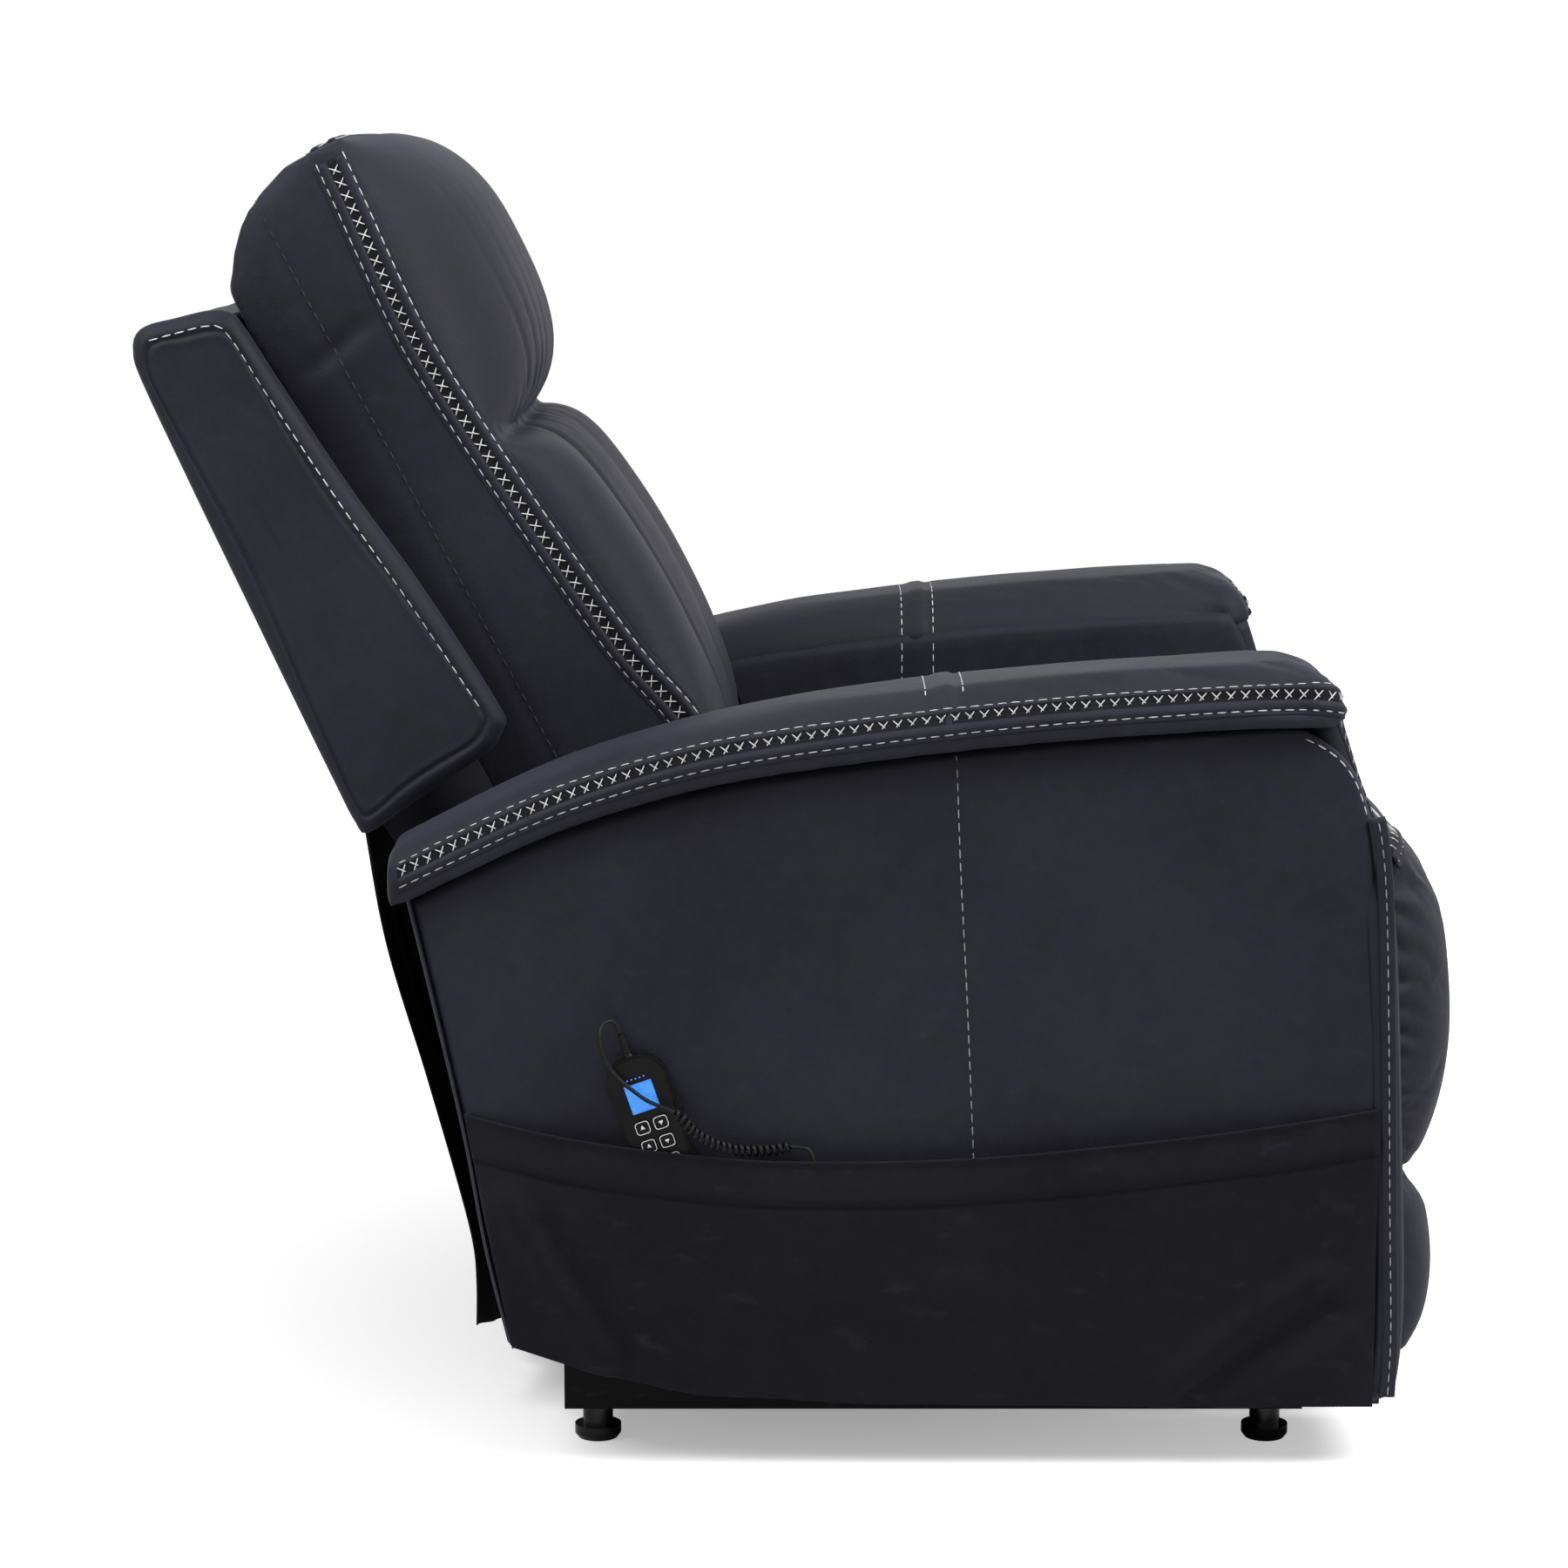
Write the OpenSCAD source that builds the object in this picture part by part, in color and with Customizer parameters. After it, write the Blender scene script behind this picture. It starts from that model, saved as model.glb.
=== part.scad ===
// Lift recliner chair: a padded armchair on a steel lift base.
// +X is the front of the chair, +Y its left side, +Z up.
// The origin is on the floor, under the middle of the chair. Sizes are in millimetres.

/* [Overall] */
// Clear width between the two arms
seat_w = 564; // [480:1:680]
// Width of one arm over its padded cap
arm_w = 164; // [150:1:200]
// Height of the arm caps at the front
arm_h = 683; // [640:1:740]
// Front face of the arms
arm_front = 498; // [480:1:520]
// Height of the arm hem above the floor
hem_h = 58; // [45:1:75]
// Height of the seat cushion at its front
seat_h = 525; // [505:1:550]
// Lean of the back from upright
back_tilt = 28; // [20:1:32]
// Length of the outside back, from its hinge to its top edge
back_len = 702; // [680:1:760]
// Height of the head pillow, bottom to top
pillow_h = 281; // [240:1:300]

/* [Upholstery] */
// Depth of the padded arm cap
cap_t = 48; // [36:1:60]
// How far the arm cap stands out over the outer panel
cap_over = 22; // [20:1:26]
// Thickness of the padded outer arm panel
outer_t = 26; // [16:1:32]
// Thickness of the inner arm board
inner_t = 15; // [12:1:16]
// Thickness of the arm's front and rear closing panels
end_t = 24; // [18:1:30]
// Thickness of the side wings of the back
wing_t = 35; // [25:1:45]
// Thickness of the outside back panel
back_panel_t = 16; // [12:1:20]
// Seat cushion thickness at the rear
seat_pad_t = 124; // [100:1:134]
// Height of the crown of the seat cushion
seat_crown = 14; // [6:1:22]
// Half width of the middle channel of the back cushion
channel_half = 88; // [70:1:110]
// Depth of the two sewn channels of the back cushion
channel_depth = 26; // [12:1:34]
// Swell of the head pillow beyond its side seams
pillow_swell = 100; // [70:1:110]
// Gap that keeps soft pieces off their neighbours
soft_gap = 0.3; // [0.2:0.1:1]
// Gap at a screwed or glued butt joint of a frame
joint_gap = 0.1; // [0.05:0.05:0.2]
// Depth of the side pocket at its mouth
pocket_gap = 18; // [17:0.5:18]
// Thickness of the pocket cloth
pocket_t = 3; // [2:0.5:3]

/* [Base] */
// Height of a floor glide
glide_h = 30; // [24:1:36]
// Diameter of a floor glide
glide_d = 40; // [32:1:44]
// Diameter of the glide's stem
glide_stem_d = 26; // [20:1:30]
// Section of the base rails
base_sec = 40; // [36:1:44]
// Wall of the base tubes
tube_wall = 2.5; // [2:0.5:4]
// Section height of the upper lift frame rails
frame_sec = 40; // [36:1:44]
// Diameter of the round cross tubes of the lift frame
cross_d = 32; // [26:1:36]

/* [Linkage] */
// Thickness of the legrest links
link_t = 6; // [4:0.5:7]
// Width of the legrest links
link_w = 24; // [20:1:26]
// Thickness of the lift links
lift_t = 8; // [6:0.5:10]
// Width of the lift links
lift_w = 34; // [28:1:40]
// Diameter of the legrest pivot pins
pin_d = 10; // [8:0.5:12]
// Diameter of the lift pivot pins
lift_pin_d = 14; // [12:0.5:16]
// Diameter of the back hinge pins
back_pin_d = 14; // [12:0.5:16]
// Running clearance of a pin in its bore, on the radius
run_fit = 0.1; // [0.05:0.01:0.1]
// Side gap between neighbouring links
lay_gap = 2; // [1.5:0.5:3]
// Thickness of the steel side plates
plate_t = 10; // [8:1:12]
// Travel of the rear lift links
lift_travel = 50; // [40:1:50]
// Travel of the legrest drive links
leg_travel = 86; // [70:1:86]

/* [Handset] */
// Width of the handset
handset_w = 46; // [42:1:50]
// Length of the handset
handset_l = 140; // [130:1:150]
// Thickness of the handset
handset_t = 15; // [13:0.5:15]
// Diameter of the handset cord
cord_d = 3.5; // [3:0.1:3.8]
// Outer diameter of the curly stretch of the cord
coil_d = 11; // [10:0.5:12]
// Curls in the curly stretch
curls = 22; // [14:1:24]

/* [Hidden] */
$fn = 48;

leather = "#26262d";
dark_steel = "#202124";
bright_steel = "#8d9196";
timber = "#b48a57";
black_plastic = "#141416";
screen_blue = "#3f8fe8";
dust_black = "#101012";

// Plane geometry of the linkages: a point is [x, z], and angles turn from +X to +Z
function turn(p, a) = [p.x * cos(a) - p.y * sin(a), p.x * sin(a) + p.y * cos(a)];
function turn_about(p, c, a) = c + turn(p - c, a);
function polar(c, r, a) = c + r * [cos(a), sin(a)];
function angle_of(v) = atan2(v.y, v.x);
// Where the circles about p and q meet, on the side given by s
function circles_meet(p, rp, q, rq, s) =
  let (d = norm(q - p), a = (rp * rp - rq * rq + d * d) / (2 * d), h = sqrt(rp * rp - a * a))
  p + (a * (q - p) + s * h * turn(q - p, 90)) / d;
// Smooth curve through plane points, with n steps between neighbours
function curve_point(p, i, t) =
  let (a = p[max(i - 1, 0)], b = p[i], c = p[i + 1], d = p[min(i + 2, len(p) - 1)])
  0.5 * (2 * b + t * (c - a) + t * t * (2 * a - 5 * b + 4 * c - d) + t * t * t * (3 * b - a - 3 * c + d));
function curve(p, n) =
  concat([for (i = [0 : len(p) - 2], k = [0 : n - 1]) curve_point(p, i, k / n)], [p[len(p) - 1]]);
function signed_power(v, e) = sign(v) * pow(abs(v), e);

// Layers across the chair, as distances from its middle plane
seat_half = seat_w / 2;
plate_in = seat_half - plate_t;
tip_layer = plate_in - lay_gap - link_t;
drive_layer = tip_layer - lay_gap - link_t;
cross_layer = drive_layer - lay_gap - link_t;
control_layer = cross_layer - lay_gap - link_t;
seat_rail_w = 26;
seat_rail_out = control_layer - 2 * lay_gap;
inner_out = seat_half + inner_t;
frame_proud = 1;
frame_out = inner_out + frame_proud;
lift_layer = frame_out + lay_gap;
lift_boss = 5;
base_in = lift_layer + lift_t + lift_boss;
base_mid = base_in + base_sec / 2;
arm_out = seat_half + arm_w - cap_over;
outer_in = arm_out - outer_t;
cap_out = seat_half + arm_w;
cap_lap = 6;
cap_in = seat_half - cap_lap;
pad_clear = 16;
pad_half = seat_half - pad_clear;
back_clear = 20;
cushion_half = seat_half - back_clear;
wing_clear = 18;
wing_in = seat_half + wing_clear;

// Base and lift linkage, folded
base_front = 420;
base_rear = -215;
glide_front = 390;
glide_rear = -187;
base_cross_front = 262;
base_front_h = 20;
base_cross_rear = -180;
base_top = glide_h + base_sec;
base_z = glide_h + base_sec / 2;
lift_a = [190, base_z];
lift_d = [360, base_z];
lift_b = [-230, base_z + 54];
lift_c = [175, base_z + 46];
frame_z = base_top + 14;
frame_top = frame_z + frame_sec;
frame_front = 300;
frame_rear = -262;
lift_b_up = turn_about(lift_b, lift_a, -lift_travel);
lift_c_up = circles_meet(lift_d, norm(lift_c - lift_d), lift_b_up, norm(lift_c - lift_b), -1);
chair_pitch = angle_of(lift_c_up - lift_b_up) - angle_of(lift_c - lift_b);
front_link_travel = angle_of(lift_c_up - lift_d) - angle_of(lift_c - lift_d);

// Legrest linkage, folded and open
leg_a = [333, frame_top + 163];
leg_c_arm = 126;
leg_f_arm = 239;
leg_d_arm = 51;
leg_e_arm = 245;
drive_angle = -86;
cross_angle = 76;
cross_travel = -50;
control_reach = 117;
leg_c = polar(leg_a, leg_c_arm, drive_angle);
leg_f = polar(leg_a, leg_f_arm, drive_angle);
leg_e = polar(leg_c, leg_e_arm, cross_angle);
leg_d = polar(leg_c, -leg_d_arm, cross_angle);
leg_g = leg_e + leg_f - leg_c;
leg_c_open = polar(leg_a, leg_c_arm, drive_angle + leg_travel);
leg_d_open = polar(leg_c_open, -leg_d_arm, cross_angle + cross_travel);
leg_d_chord = leg_d_open - leg_d;
leg_b = (leg_d + leg_d_open) / 2 + control_reach * turn(leg_d_chord / norm(leg_d_chord), 90);
control_travel = angle_of(leg_d_open - leg_b) - angle_of(leg_d - leg_b);
torque_arm = 40;
torque_d = 18;
leg_lug_arm = 50;
leg_lug_lag = 45;
leg_torque = polar(leg_a, torque_arm, drive_angle);
leg_lug = polar(leg_a, leg_lug_arm, drive_angle - leg_lug_lag);
board_back = 436;
board_t = 12;
board_front = board_back + board_t;
board_z0 = 45;
board_z1 = 455;
breather_y = 140;
breather_d = 30;

// Seat
seat_rear = -150;
seat_front = 424;
deck_z = seat_h - 179;
seat_frame_h = 44;
web_t = 3;
seat_frame_z = deck_z - soft_gap - web_t - seat_frame_h;
seat_frame_front = 330;
lip_x = 356;
lip_z = 440;

// Back, in its own frame: n forward and s up along the back, from the hinge
back_hinge = [-215, frame_top + 221];
crank_r = 130;
crank_angle = -101;
crank_end = polar(back_hinge, crank_r, crank_angle);
recline_y = 110;
head_hinge = [165, 477];
head_pin_d = 8;
head_eye_d = 14;
head_arm_h = 10;
head_arm_in = 54;
pillow_z = 484;
stile_n0 = -40;
stile_n1 = -5;
stile_w = 22;
arm_clear_s = 262;
panel_n = -62;
panel_slant = 24;
panel_s = arm_clear_s - 10;
function panel_in(s) = panel_n + back_panel_t + panel_slant * (s - panel_s) / (back_len - 18 - panel_s);
function stile_rear(s) = max(stile_n0, panel_in(s) + soft_gap);

// Actuators: tail pivot, rod pivot at rest and rod pivot at the far limit
eye_d = 26;
eye_t = 20;
eye_pin_d = 10;
eye_gap = 2;
lug_t = 6;
tube_d = 34;
rod_d = 20;
motor_d = 38;
gearbox_l = 64;
tail_l = 22;
case_wall = 3;
rod_stop = 12;
motor_neck = 8;
motor_l = 2.6;
head_tube_d = 22;
head_motor_d = 24;
// How far each folded rod stands out of its tube, and where it ends inside
lift_out = 42;
lift_in = 50;
recline_out = 118;
recline_in = 130;
leg_out = 46;
leg_in = 60;
head_out = 44;
head_in = 100;
front_cross = [118, frame_z + frame_sec / 2];
rear_cross = [-200, frame_z + frame_sec / 2];
lug_tube = [96, frame_top + 138];
lift_tail = [304, base_z + 26];
lift_eye = [128, frame_top + 142];
lift_eye_play = 0.6;
recline_tail = [138, frame_top + 32];
leg_actuator_y = -90;
leg_tail = [-172, frame_top + 30];
head_tail = [-22, 315];
head_eye = [14, 524];

// Handset, in its own frame: down along the handset, from the middle of its top
handset_top = [-155, 357];
handset_lean = 19;
handset_y = arm_out + soft_gap;
handset_face = handset_y + handset_t;
button_rows = 3;
button_pitch = 16.5;
button_first = 59;
button_w = 13;
button_l = 12;
button_spread = 16;
button_proud = 1.2;
button_fit = 0.3;
button_r = 3;
button_h = 3.4;
window_at = [0, -34];
window = [24, 25];
window_fit = 0.1;
shell_t = 2;
sleeve_d = 8.8;
sleeve_l = 20.4;

// Handset cord. Each point is [x, y, z]
lead_route = [[-161.7, -431.8, 376.4], [-163.4, -431.8, 381.3], [-166, -432.4, 385.6], [-170, -434.2, 388.2],
  [-174.4, -437, 387], [-177.4, -440, 382.6], [-178.4, -443, 376.4], [-177.4, -445, 368],
  [-173.8, -446, 358], [-168, -446.4, 348], [-160.5, -446.6, 339.6], [-151, -447, 332],
  [-140.4, -448, 324.5], [-130, -449.4, 319.8], [-121, -450.6, 316.5]];
coil_route = [[-121, -450.6, 316.5], [-113, -451, 312.5], [-107.5, -450.4, 305.4], [-102, -448.6, 298.6],
  [-93, -446, 291.4], [-81, -442.5, 284.8], [-68, -439, 280.4], [-54, -436, 278.6], [-40, -434.6, 278.8],
  [-27, -434.2, 280.4], [-15, -434.2, 281]];
tail_route = [[-15, -434.2, 281], [-8, -434.2, 280], [-3.4, -435, 276], [-1, -436.4, 269], [0, -437, 262],
  [0, -436.8, 255], [0, -435.6, 249.4], [0, -433.2, 246], [0, -430.7, 245]];
gland_at = [0, 245];
gland_l = 6;
gland_d = 14;

// Shared shapes

module both_sides() {
  children();
  mirror([0, 1, 0]) children();
}

module on_side(side) {
  if (side > 0) children();
  else mirror([0, 1, 0]) children();
}

// A plane outline in X and Z, drawn out along Y
module slab(y0, t) {
  translate([0, y0 + t, 0]) rotate([90, 0, 0]) linear_extrude(t) children();
}

// A round bar along Y
module pin(p, y0, y1, d) {
  translate([p.x, y0, p.y]) rotate([-90, 0, 0]) cylinder(h = y1 - y0, d = d);
}

// A flat bar with round ends and a slightly narrower waist, in plane
module bar(p, q, w) {
  waist = 0.94 * w;
  translate(p) rotate(angle_of(q - p)) translate([0, -waist / 2]) square([norm(q - p), waist]);
  translate(p) circle(d = w);
  translate(q) circle(d = w);
}

module holes(points, d) {
  for (p = points) translate(p) circle(d = d);
}

module box(x0, x1, y0, y1, z0, z1) {
  translate([x0, y0, z0]) cube([x1 - x0, y1 - y0, z1 - z0]);
}

// A solid through closed rings of points; each end is closed on its own middle point
module loft(rings) {
  n = len(rings[0]);
  m = len(rings);
  points = concat([for (r = rings) each r], [mean(rings[0]), mean(rings[m - 1])]);
  sides = [for (i = [0 : m - 2], k = [0 : n - 1]) each let (a = i * n + k, b = i * n + (k + 1) % n)
    [[a, a + n, b], [b, a + n, b + n]]];
  first = [for (k = [0 : n - 1]) [m * n, k, (k + 1) % n]];
  last = [for (k = [0 : n - 1]) [m * n + 1, (m - 1) * n + (k + 1) % n, (m - 1) * n + k]];
  polyhedron(points, concat(sides, first, last), convexity = 8);
}

function mean(r) = [for (c = [0 : 2]) sum([for (p = r) p[c]]) / len(r)];
function sum(v, i = 0) = i == len(v) ? 0 : v[i] + sum(v, i + 1);

// A round tube swept along a route, with its ends cut square
function unit(v) = v / norm(v);
function directions(p) = [for (i = [0 : len(p) - 1]) unit(p[min(i + 1, len(p) - 1)] - p[max(i - 1, 0)])];
function carry(u, d) = unit(u - (u * d) * d);
function frames(d, u, i = 0) = i == len(d) ? [] :
  let (v = carry(u, d[i])) concat([v], frames(d, v, i + 1));
function tube_rings(p, r, sides, first_side) =
  let (d = directions(p), u = frames(d, first_side))
  [for (i = [0 : len(p) - 1]) let (w = cross(d[i], u[i]))
    [for (k = [0 : sides - 1]) p[i] + r * (cos(360 * k / sides) * u[i] + sin(360 * k / sides) * w)]];

// A linear drive, drawn along +X from its tail pivot. Its lugs stand on either side of the eyes
module eye(x, bore) {
  difference() {
    union() {
      translate([x, -eye_t / 2, 0]) rotate([-90, 0, 0]) cylinder(h = eye_t, d = eye_d);
      children();
    }
    if (bore > 0) translate([x, -eye_t, 0]) rotate([-90, 0, 0]) cylinder(h = 2 * eye_t, d = bore);
  }
}

module along(p, q, y) {
  translate([p.x, y, p.y]) rotate([0, -angle_of(q - p), 0]) children();
}

module drive_body(length, d, motor, motor_side) {
  case_half = d / 2 + case_wall;
  tube_x = tail_l + gearbox_l;
  eye(0, eye_pin_d + 2 * run_fit) translate([0, -eye_t / 2, -d / 4]) cube([tail_l, eye_t, d / 2]);
  difference() {
    union() {
      translate([tail_l, -case_half, -case_half]) cube([gearbox_l, 2 * case_half, 2 * case_half]);
      translate([tube_x, 0, 0]) rotate([0, 90, 0]) cylinder(h = length - tube_x, d = d);
    }
    translate([tail_l + rod_stop, 0, 0]) rotate([0, 90, 0]) cylinder(h = length, d = rod_of(d) + 2 * run_fit);
  }
  translate([tail_l + motor_neck, motor_side * case_half, 0]) rotate([-90 * motor_side, 0, 0])
    cylinder(h = motor / 2, d = motor - motor_neck);
  translate([tail_l, motor_side * (case_half + motor / 2), 0]) rotate([0, 90, 0])
    cylinder(h = motor_l * motor, d = motor);
}

module drive_rod(x_eye, x_in, d, bore) {
  eye(x_eye, bore) translate([x_eye - eye_d, -eye_t / 2, -d / 3]) cube([eye_d, eye_t, 2 * d / 3]);
  translate([x_in, 0, 0]) rotate([0, 90, 0]) cylinder(h = x_eye - eye_d + 1 - x_in, d = rod_of(d));
}

function rod_of(d) = rod_d * d / tube_d;

// Two lugs that straddle an eye; pinned lugs carry the pivot pin across
module lugs(p, q, y, pinned) {
  for (s = [-1, 1]) slab(y + s * (eye_t / 2 + eye_gap + lug_t / 2) - lug_t / 2, lug_t) bar(p, q, eye_d);
  if (pinned) pin(p, y - eye_t / 2 - eye_gap - 1, y + eye_t / 2 + eye_gap + 1, eye_pin_d);
}

// Base

module base_side_rails() {
  color(dark_steel) both_sides() {
    difference() {
      box(base_rear, base_front, base_in, base_in + base_sec, glide_h, base_top);
      box(base_rear + tube_wall, base_front - tube_wall, base_in + tube_wall,
        base_in + base_sec - tube_wall, glide_h + tube_wall, base_top - tube_wall);
    }
    for (p = [lift_a, lift_d]) {
      pin(p, lift_layer + lift_t, base_in + tube_wall / 2, lift_pin_d + 8);
      pin(p, lift_layer - lay_gap / 4, base_in, lift_pin_d);
    }
  }
}

module base_cross_tubes() {
  color(dark_steel) {
    for (t = [[base_cross_front, base_front_h], [base_cross_rear, base_sec]]) difference() {
      box(t.x - base_sec / 2, t.x + base_sec / 2, -base_in, base_in, glide_h, glide_h + t.y);
      box(t.x - base_sec / 2 + tube_wall, t.x + base_sec / 2 - tube_wall, -base_in - 1, base_in + 1,
        glide_h + tube_wall, glide_h + t.y - tube_wall);
    }
    lugs(lift_tail, [base_cross_front + 8, glide_h + base_front_h - 6], 0, true);
  }
}

module glide_feet() {
  cup_h = 0.4 * glide_h;
  color(black_plastic) for (x = [glide_rear, glide_front], s = [-1, 1]) translate([x, s * base_mid, 0])
    rotate_extrude() polygon([[0, 0], [glide_d / 2 - 3, 0], [glide_d / 2, 4], [glide_d / 2, cup_h],
      [glide_stem_d / 2, cup_h], [glide_stem_d / 2, glide_h], [0, glide_h]]);
}

module power_supply() {
  x0 = base_cross_rear + base_sec / 2;
  length = 92;
  y0 = 120;
  y1 = 236;
  inlet = [28, 24, 20];
  vents = 6;
  vent_pitch = 12;
  vent_w = 5;
  vent_edge = 14;
  color(black_plastic) difference() {
    box(x0, x0 + length, y0, y1, glide_h + 4, base_top - 2);
    translate([x0 + length / 2, y1, base_z]) cube(inlet, center = true);
    for (i = [0 : vents - 1]) let (y = y0 + 20 + vent_pitch * i)
      box(x0 + vent_edge, x0 + length - vent_edge, y, y + vent_w, base_top - 5, base_top);
  }
}

// Lift links

module lift_link(p, q) {
  bore = lift_pin_d + 2 * run_fit;
  slab(lift_layer, lift_t) difference() {
    bar(p, q, lift_w);
    holes([p, q], bore);
  }
}

module rear_lift_links() {
  color(bright_steel) both_sides() lift_link(lift_a, lift_b);
}

module front_lift_links() {
  color(bright_steel) both_sides() lift_link(lift_d, lift_c);
}

// Upper lift frame

module lift_frame_rails() {
  color(dark_steel) both_sides() {
    difference() {
      box(frame_rear, frame_front, plate_in, frame_out, frame_z, frame_top);
      box(frame_rear + tube_wall, frame_front - tube_wall, plate_in + tube_wall, frame_out - tube_wall,
        frame_z + tube_wall, frame_top - tube_wall);
    }
    pin(lift_b, frame_out - tube_wall / 2, lift_layer + lift_t + 1, lift_pin_d);
    pin(lift_c, frame_out - tube_wall / 2, lift_layer - lay_gap / 4, lift_pin_d);
  }
}

module lift_frame_cross_tubes() {
  color(dark_steel) {
    for (p = [front_cross, rear_cross, lug_tube]) difference() {
      pin(p, -plate_in, plate_in, cross_d);
      pin(p, -plate_in - 1, plate_in + 1, cross_d - 2 * tube_wall);
    }
    difference() {
      union() {
        lugs(lift_eye, lug_tube, 0, true);
        lugs(recline_tail, front_cross, recline_y, true);
        lugs(leg_tail, rear_cross, leg_actuator_y, true);
      }
      for (p = [front_cross, rear_cross, lug_tube]) pin(p, -plate_in, plate_in, cross_d - 2 * tube_wall);
    }
  }
}

// Steel plates that carry the legrest links, the seat frame and the arm boards
module mechanism_side_plates() {
  flange_l = 60;
  flange_t = 6;
  color(dark_steel) both_sides() {
    slab(plate_in, plate_t) polygon([[leg_b.x - 40, frame_top], [frame_front, frame_top],
      [leg_a.x + 26, leg_a.y - 30], [leg_a.x + 26, leg_a.y + 16], [leg_a.x + 10, leg_a.y + 26],
      [leg_b.x - 20, leg_b.y + 40], [leg_b.x - 40, leg_b.y + 20]]);
    slab(plate_in, plate_t) polygon([[-120, frame_top], [120, frame_top], [120, seat_frame_z],
      [-120, seat_frame_z]]);
    for (x = [-110, 110 - flange_l])
      box(x, x + flange_l, seat_rail_out - seat_rail_w, plate_in, seat_frame_z - flange_t, seat_frame_z);
    pin(leg_a, drive_layer - lay_gap / 2, plate_in, pin_d);
    pin(leg_b, control_layer - lay_gap / 2, plate_in, pin_d);
  }
}

// Seat

module seat_frame() {
  rail_in = seat_rail_out - seat_rail_w;
  z1 = seat_frame_z + seat_frame_h;
  color(timber) {
    both_sides() box(seat_rear, seat_frame_front, rail_in, seat_rail_out, seat_frame_z, z1);
    for (x = [seat_rear, seat_frame_front - seat_rail_w])
      box(x, x + seat_rail_w, -rail_in + joint_gap, rail_in - joint_gap, seat_frame_z, z1);
  }
}

module seat_webbing() {
  z0 = seat_frame_z + seat_frame_h;
  strap = 60;
  end_in = 10;
  side_in = 6;
  color(dust_black) difference() {
    box(seat_rear + end_in, seat_frame_front - end_in, -seat_rail_out + side_in, seat_rail_out - side_in,
      z0, z0 + web_t);
    for (x = [seat_rear + end_in + strap / 2 : 1.5 * strap : seat_frame_front - strap],
      y = [-seat_rail_out + strap : 1.5 * strap : seat_rail_out - strap])
      box(x, x + strap, y, y + strap / 2, z0 - 1, z0 + web_t + 1);
  }
}

// Top line of the seat cushion along X, and its crown and pulled-in sides
seat_line = [[seat_rear, deck_z + seat_pad_t - 26], [seat_rear + 34, deck_z + seat_pad_t + 4],
  [60, seat_h - 22], [260, seat_h - 6], [340, seat_h], [seat_front - 30, seat_h - 4],
  [seat_front, seat_h - 30]];

module seat_cushion() {
  half = seat_half - 3;
  waist = 8;
  line = curve(seat_line, 3);
  arch = [for (k = [0 : 16]) 180 * k / 16];
  function bottom(x) = x < lip_x ? deck_z : lip_z;
  function along(x) = (x - seat_rear) / (seat_front - seat_rear);
  function ring(p, x) = let (pull = waist * pow(sin(180 * along(x)), 2))
    [for (a = arch) let (c = cos(a), w = signed_power(c, 0.35))
      [x, (half - pull) * w, bottom(x) + (p.y - bottom(x) - seat_crown) * pow(sin(a), 0.25)
        + seat_crown * (1 - w * w)]];
  rings = [for (p = line) ring(p, p.x)];
  step = ring([lip_x, seat_h + 0.2], lip_x - 0.5);
  lip = ring([lip_x, seat_h + 0.2], lip_x);
  front = [for (i = [0 : len(rings) - 1]) if (line[i].x > lip_x + 2) rings[i]];
  rear = [for (i = [0 : len(rings) - 1]) if (line[i].x < lip_x - 2) rings[i]];
  color(leather) loft(concat(rear, [step, lip], front));
}

// Arms

arm_rear_line = [[-340, arm_h - 142 - cap_t], [-315, 396], [-291, 285], [-274, 188], [-254, hem_h + 45]];
arm_hem_line = [[-254, hem_h + 45], [-195, hem_h + 26], [-99, hem_h + 9], [47, hem_h + 3], [300, hem_h],
  [arm_front - 18, hem_h]];
arm_front_line = [[arm_front - 18, hem_h], [arm_front - 4, hem_h + 17], [arm_front, hem_h + 85],
  [arm_front - 5, 293], [arm_front - 12, 440], [arm_front - 21, arm_h - 169],
  [arm_front - 32, arm_h - 140], [arm_front - 55, arm_h - 97], [arm_front - 80, arm_h - 64]];
nose_x = arm_front - 93;
arm_top_line = [[-354, arm_h - 154], [-173, arm_h - 73], [47, arm_h - 28], [250, arm_h - 7], [nose_x, arm_h]];
arm_crest = curve(arm_top_line, 4);
cap_under = [for (p = arm_crest) if (p.x > -345) [p.x, p.y - cap_t - soft_gap]];

// Side outline of the arm below its cap, drawn in by d at the front and the rear
module arm_outline(d) {
  polygon(concat([for (p = arm_rear_line) p + [d, 0]], [for (i = [1 : 4]) arm_hem_line[i]],
    [for (i = [0 : 7]) arm_front_line[i] - [d, 0]],
    [for (i = [len(cap_under) - 1 : -1 : 0]) let (p = cap_under[i])
      if (p.x > arm_rear_line[0].x + 10 + d && p.x < arm_front - 60 - d) p]));
}

module arm_outer_panel(side) {
  color(leather) on_side(side) slab(outer_in, outer_t) arm_outline(end_t);
}

module arm_front_panel(side) {
  color(leather) on_side(side) slab(inner_out, arm_out - inner_out) intersection() {
    difference() {
      arm_outline(0);
      offset(delta = soft_gap) arm_outline(end_t);
    }
    translate([arm_front - 140, 0]) square([200, arm_h]);
    polygon([[arm_front - end_t - 18, 0], [arm_front + 20, 0], [arm_front + 20, arm_h],
      [arm_front - 100, arm_h], [arm_front - 100, arm_h - 110], [arm_front - 70, arm_h - 140]]);
  }
}

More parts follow.
